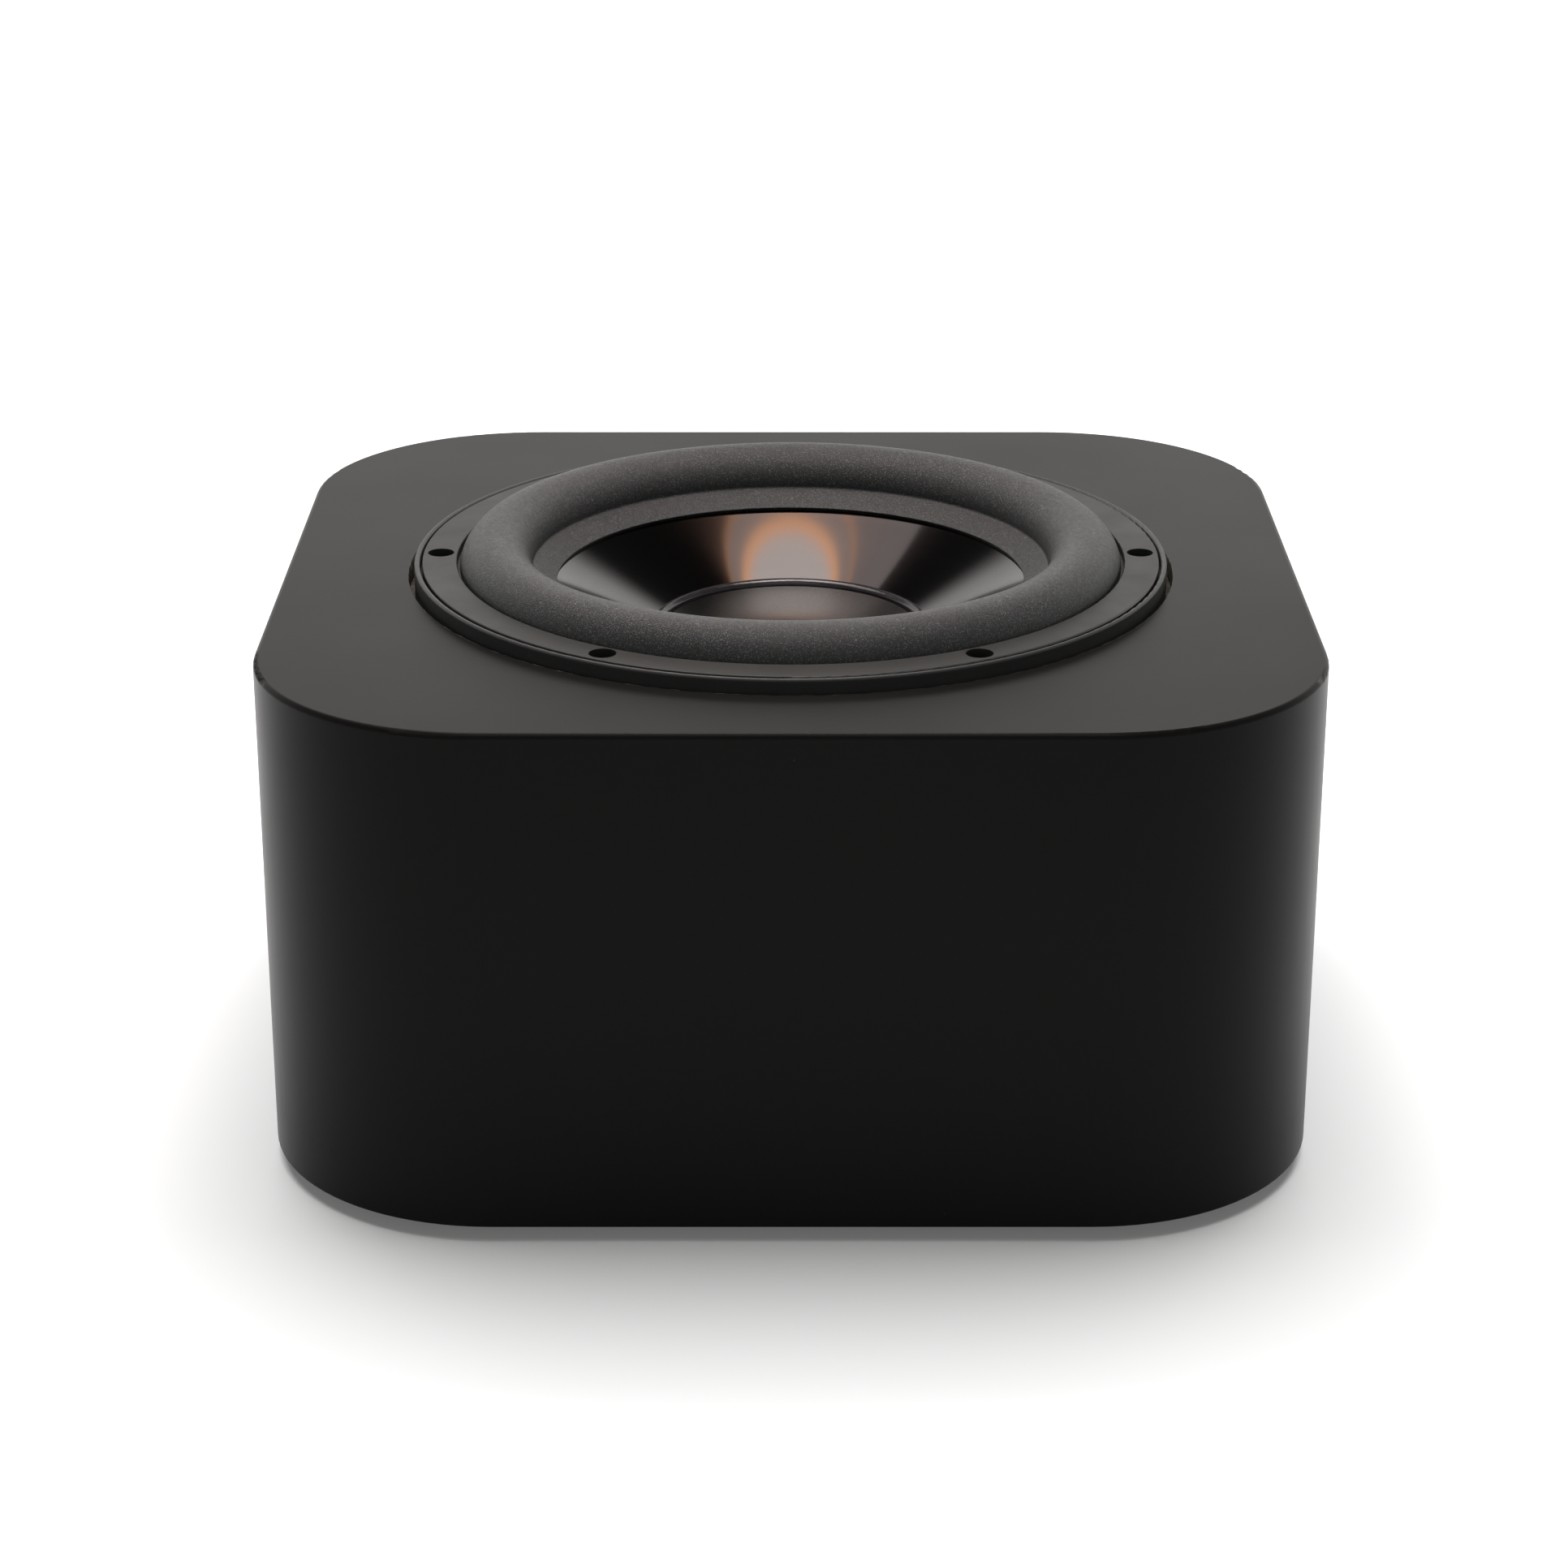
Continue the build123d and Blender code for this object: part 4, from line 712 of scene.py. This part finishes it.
def cords(name, lines, radius, slot):
    """Round cords along lines, as one mesh."""
    curve = bpy.data.curves.new(name, "CURVE")
    curve.dimensions = "3D"
    curve.bevel_depth = radius
    curve.bevel_resolution = 5
    curve.use_fill_caps = True
    for line in lines:
        spline = curve.splines.new("POLY")
        spline.points.add(len(line) - 1)
        for point, place in zip(spline.points, line):
            point.co = (*place, 1.0)
    holder = bpy.data.objects.new(name + "_curve", curve)
    mesh = bpy.data.meshes.new_from_object(holder)
    mesh.materials.clear()
    mesh.shade_smooth()
    mesh.name = name
    made = bpy.data.objects.new(name, mesh)
    bpy.context.scene.collection.objects.link(made)
    bpy.data.objects.remove(holder)
    mesh.materials.append(finish_for(slot))
    return made


def make_leads():
    """The two flexible leads from the terminals to the cone, each arching over the spider."""
    route = [
        (LEAD_START, 130.9),
        (LEAD_START, 142.0),
        (LEAD_START - 14.0 * MM, 147.0),
        (LEAD_END, 140.0),
        (LEAD_END, 156.3),
    ]
    turn = Matrix.Rotation(math.radians(LEAD_TURN), 3, "Z")
    lines = []
    for side in (-LEAD_SPACING, LEAD_SPACING):
        lines.append(rounded_line([turn @ Vector((reach, side, height * MM)) for reach, height in route]))
    piece = cords("leads", lines, LEAD_RADIUS, "tinsel_braid")
    ride_with_radius(piece)
    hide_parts("tinsel_leads")


# ---------------------------------------------------------------- the amplifier's own pieces

def make_knob(node, body):
    """A fluted knob with a dished face and a pointer, hollow behind."""
    low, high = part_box(node)
    centre = (low + high) / 2
    radius = (high.x - low.x) / 2
    tall = high.y - low.y
    inside = radius - KNOB_WALL
    outline = [(inside, KNOB_HOLLOW), (inside, 0.15 * MM), (radius - 1.6 * MM, 0.0)]
    outline += [(radius - 0.25 * MM, 0.0), (radius, 0.25 * MM), (radius, 1.6 * MM)]
    outline.append((radius - 0.1 * MM, 1.9 * MM))
    fluted = len(outline)
    outline += straight((radius - 0.1 * MM, 2.4 * MM), (radius - 0.35 * MM, tall - 1.0 * MM), 8)
    smooth = len(outline)
    outline += bow((radius - 1.15 * MM, tall - KNOB_ROUNDING), KNOB_ROUNDING, 0, 90, 6)
    outline.append((radius - 2.2 * MM, tall - 0.35 * MM))
    outline += [(radius * 0.4, tall - 0.5 * MM), (0.0, tall - 0.5 * MM)]
    steps = KNOB_STEPS
    points = []
    faces = []
    for row, (reach, height) in enumerate(outline):
        for step in range(steps):
            angle = 2 * math.pi * step / steps
            away = reach
            if fluted <= row < smooth:
                away -= KNOB_FLUTE_DEPTH * (0.5 - 0.5 * math.cos(KNOB_FLUTES * angle))
            x = centre.x + away * math.cos(angle)
            z = centre.z + away * math.sin(angle)
            points.append((x, low.y + height, z))
    for row in range(len(outline) - 1):
        for step in range(steps):
            after = (step + 1) % steps
            here = row * steps
            faces.append((here + step, here + steps + step, here + steps + after, here + after))
    faces.append(tuple(reversed(range(steps))))
    piece = mesh_object(node + "_turned", points, faces, "knob_plastic")
    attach(piece, body)
    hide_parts(node)
    make_pointer(node + "_pointer", centre, radius, high.y, body)


def make_pointer(name, centre, radius, front, body):
    """A pale line on the knob's face, slightly raised, its ends rounded."""
    half = POINTER_HALF
    outline = []
    for index in range(9):
        angle = math.pi * index / 8
        outline.append((half * math.cos(angle), radius - 1.5 * MM + half * math.sin(angle)))
    for index in range(9):
        angle = math.pi + math.pi * index / 8
        outline.append((half * math.cos(angle), radius * 0.42 + half * math.sin(angle)))
    count = len(outline)
    points = [(centre.x + across, front - 0.6 * MM, centre.z + up) for across, up in outline]
    points += [(centre.x + across, front - 0.15 * MM, centre.z + up) for across, up in outline]
    points += [(centre.x + across * 0.8, front - 0.1 * MM, centre.z + up) for across, up in outline]
    faces = [tuple(reversed(range(count))), tuple(range(2 * count, 3 * count))]
    for layer in (0, count):
        for step in range(count):
            after = (step + 1) % count
            faces.append((layer + step, layer + after, layer + count + after, layer + count + step))
    piece = mesh_object(name, points, faces, "ring_white", smooth=False)
    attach(piece, body)


def make_scales():
    """Printed rings of short ticks round the two knobs, with no lettering."""
    points = []
    faces = []
    for node in ("level_knob", "crossover_knob"):
        low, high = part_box(node)
        centre = (low + high) / 2
        for tick in range(TICKS):
            angle = math.radians(90 + TICK_PITCH * ((TICKS - 1) / 2 - tick))
            along = Vector((math.cos(angle), 0, math.sin(angle)))
            across = Vector((-math.sin(angle), 0, math.cos(angle))) * TICK_HALF
            reach = TICK_REACH
            length = TICK_LONG if tick % 5 == 0 else TICK_SHORT
            base = Vector((centre.x, PLATE_FACE, centre.z))
            first = len(points)
            for lift in (-0.02 * MM, 0.04 * MM):
                rise = Vector((0, lift, 0))
                for out_by, side in ((reach, -1), (reach, 1), (reach + length, 0.6), (reach + length, -0.6)):
                    points.append(tuple(base + along * out_by + across * side + rise))
            a, b, c, d, e, f, g, h = range(first, first + 8)
            faces += [(a, d, c, b), (e, f, g, h), (a, b, f, e), (b, c, g, f), (c, d, h, g), (d, a, e, h)]
    piece = mesh_object("scale_ticks", points, faces, "ring_white", smooth=False)
    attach(piece, "cabinet")


# ---------------------------------------------------------------- stage, lights and camera

FLOOR_GLOW = 0.1
FLOOR_HALF = 6.0


def make_floor():
    """A plain pale floor with a faint glow."""
    half = FLOOR_HALF
    corners = [(-half, -half, 0), (half, -half, 0), (half, half, 0), (-half, half, 0)]
    mesh = bpy.data.meshes.new("floor")
    mesh.from_pydata(corners, [], [(0, 1, 2, 3)])
    floor = bpy.data.objects.new("floor", mesh)
    bpy.context.scene.collection.objects.link(floor)
    material, tree, shader, place = start("floor", Roughness=0.9, Specular_IOR_Level=0.1)
    cloud = noise(tree, place, 3.0, 2.0)
    tree.links.new(mix(tree, cloud, (0.58, 0.58, 0.58), (0.60, 0.60, 0.60)), shader.inputs["Base Color"])
    shader.inputs["Emission Color"].default_value = (1.0, 1.0, 1.0, 1.0)
    shader.inputs["Emission Strength"].default_value = FLOOR_GLOW
    mesh.materials.append(material)


def softbox(name, place, aim, width, height, power):
    """A soft rectangular light at a place, turned towards a point."""
    light = bpy.data.lights.new(name, "AREA")
    light.shape = "RECTANGLE"
    light.size = width
    light.size_y = height
    light.energy = power
    made = bpy.data.objects.new(name, light)
    bpy.context.scene.collection.objects.link(made)
    made.location = place
    made.rotation_euler = (Vector(aim) - Vector(place)).to_track_quat("-Z", "Y").to_euler()
    return made


def make_lights():
    """A bright band low all round, a dim ceiling, and small panels over the driver with warm edges."""
    world = bpy.data.worlds.new("studio")
    bpy.context.scene.world = world
    world.use_nodes = True
    tree = world.node_tree
    direction = add(tree, "ShaderNodeTexCoord").outputs["Generated"]
    parts = add(tree, "ShaderNodeSeparateXYZ", {"Vector": direction})
    low = spread(tree, parts.outputs[2], 0.42, 0.58, 1.0, 0.0, True)
    back = spread(tree, parts.outputs[1], -0.1, 0.9, 0.34, 1.0, True)
    glow = maths(tree, "ADD", 0.05, maths(tree, "MULTIPLY", maths(tree, "MULTIPLY", low, back), 1.25))
    tree.links.new(glow, tree.nodes["Background"].inputs["Strength"])
    tree.nodes["Background"].inputs["Color"].default_value = (1.0, 0.985, 0.96, 1.0)
    panel("panel_core", (-0.12, 0.06, 0.115, 0.2265), (1.0, 0.93, 0.90), 9.0)
    panel("panel_edge_near", (-0.12, 0.2265, 0.115, 0.235), (1.0, 0.45, 0.20), 16.0)
    panel("panel_mid", (-0.12, 0.235, 0.115, 0.2515), (1.0, 0.90, 0.87), 3.4)
    panel("panel_edge_far", (-0.12, 0.2515, 0.115, 0.2555), (1.0, 0.45, 0.20), 9.0)
    panel("panel_haze", (-0.30, 0.06, -0.12, 0.34), (1.0, 0.88, 0.86), 2.6)
    panel("panel_haze_back", (-0.12, 0.2555, -0.02, 0.34), (1.0, 0.88, 0.86), 2.6)
    panel("panel_front", (-0.22, -0.42, 0.22, -0.18), (1.0, 0.98, 0.96), 1.5)
    fill = softbox("fill", (0.0, 0.9, 2.6), (0.0, 0.3, 0.0), 3.0, 2.4, 195.0)
    fill.visible_glossy = False


PANEL_HEIGHT = 0.62


def panel(name, area, colour, radiance):
    """A flat light over the driver, from its left, front, right and back edges and its radiance."""
    left, front, right, back = area
    width = right - left
    depth = back - front
    power = radiance * math.pi * width * depth
    made = softbox(
        name, ((left + right) / 2, (front + back) / 2, PANEL_HEIGHT),
        ((left + right) / 2, (front + back) / 2, 0.0), width, depth, power,
    )
    made.data.color = colour
    made.visible_camera = False


def make_camera():
    camera = bpy.data.cameras.new("camera")
    camera.sensor_width = 36.0
    camera.lens = 87.62
    made = bpy.data.objects.new("camera", camera)
    bpy.context.scene.collection.objects.link(made)
    made.location = (-0.0023, -1.2829, 0.5972)
    made.rotation_euler = (math.radians(90.0 - 21.38), 0.0, 0.0)
    bpy.context.scene.camera = made


# ---------------------------------------------------------------- put together

make_camera()
make_lights()
make_floor()
dress_cad_nodes()
make_surround()
make_cone()
make_neck_bead()
make_cap()
make_spider()
make_leads()
make_knob("level_knob", "level_control")
make_knob("crossover_knob", "crossover_control")
make_scales()

scene = bpy.context.scene
scene.view_settings.view_transform = "Standard"
scene.view_settings.look = "None"
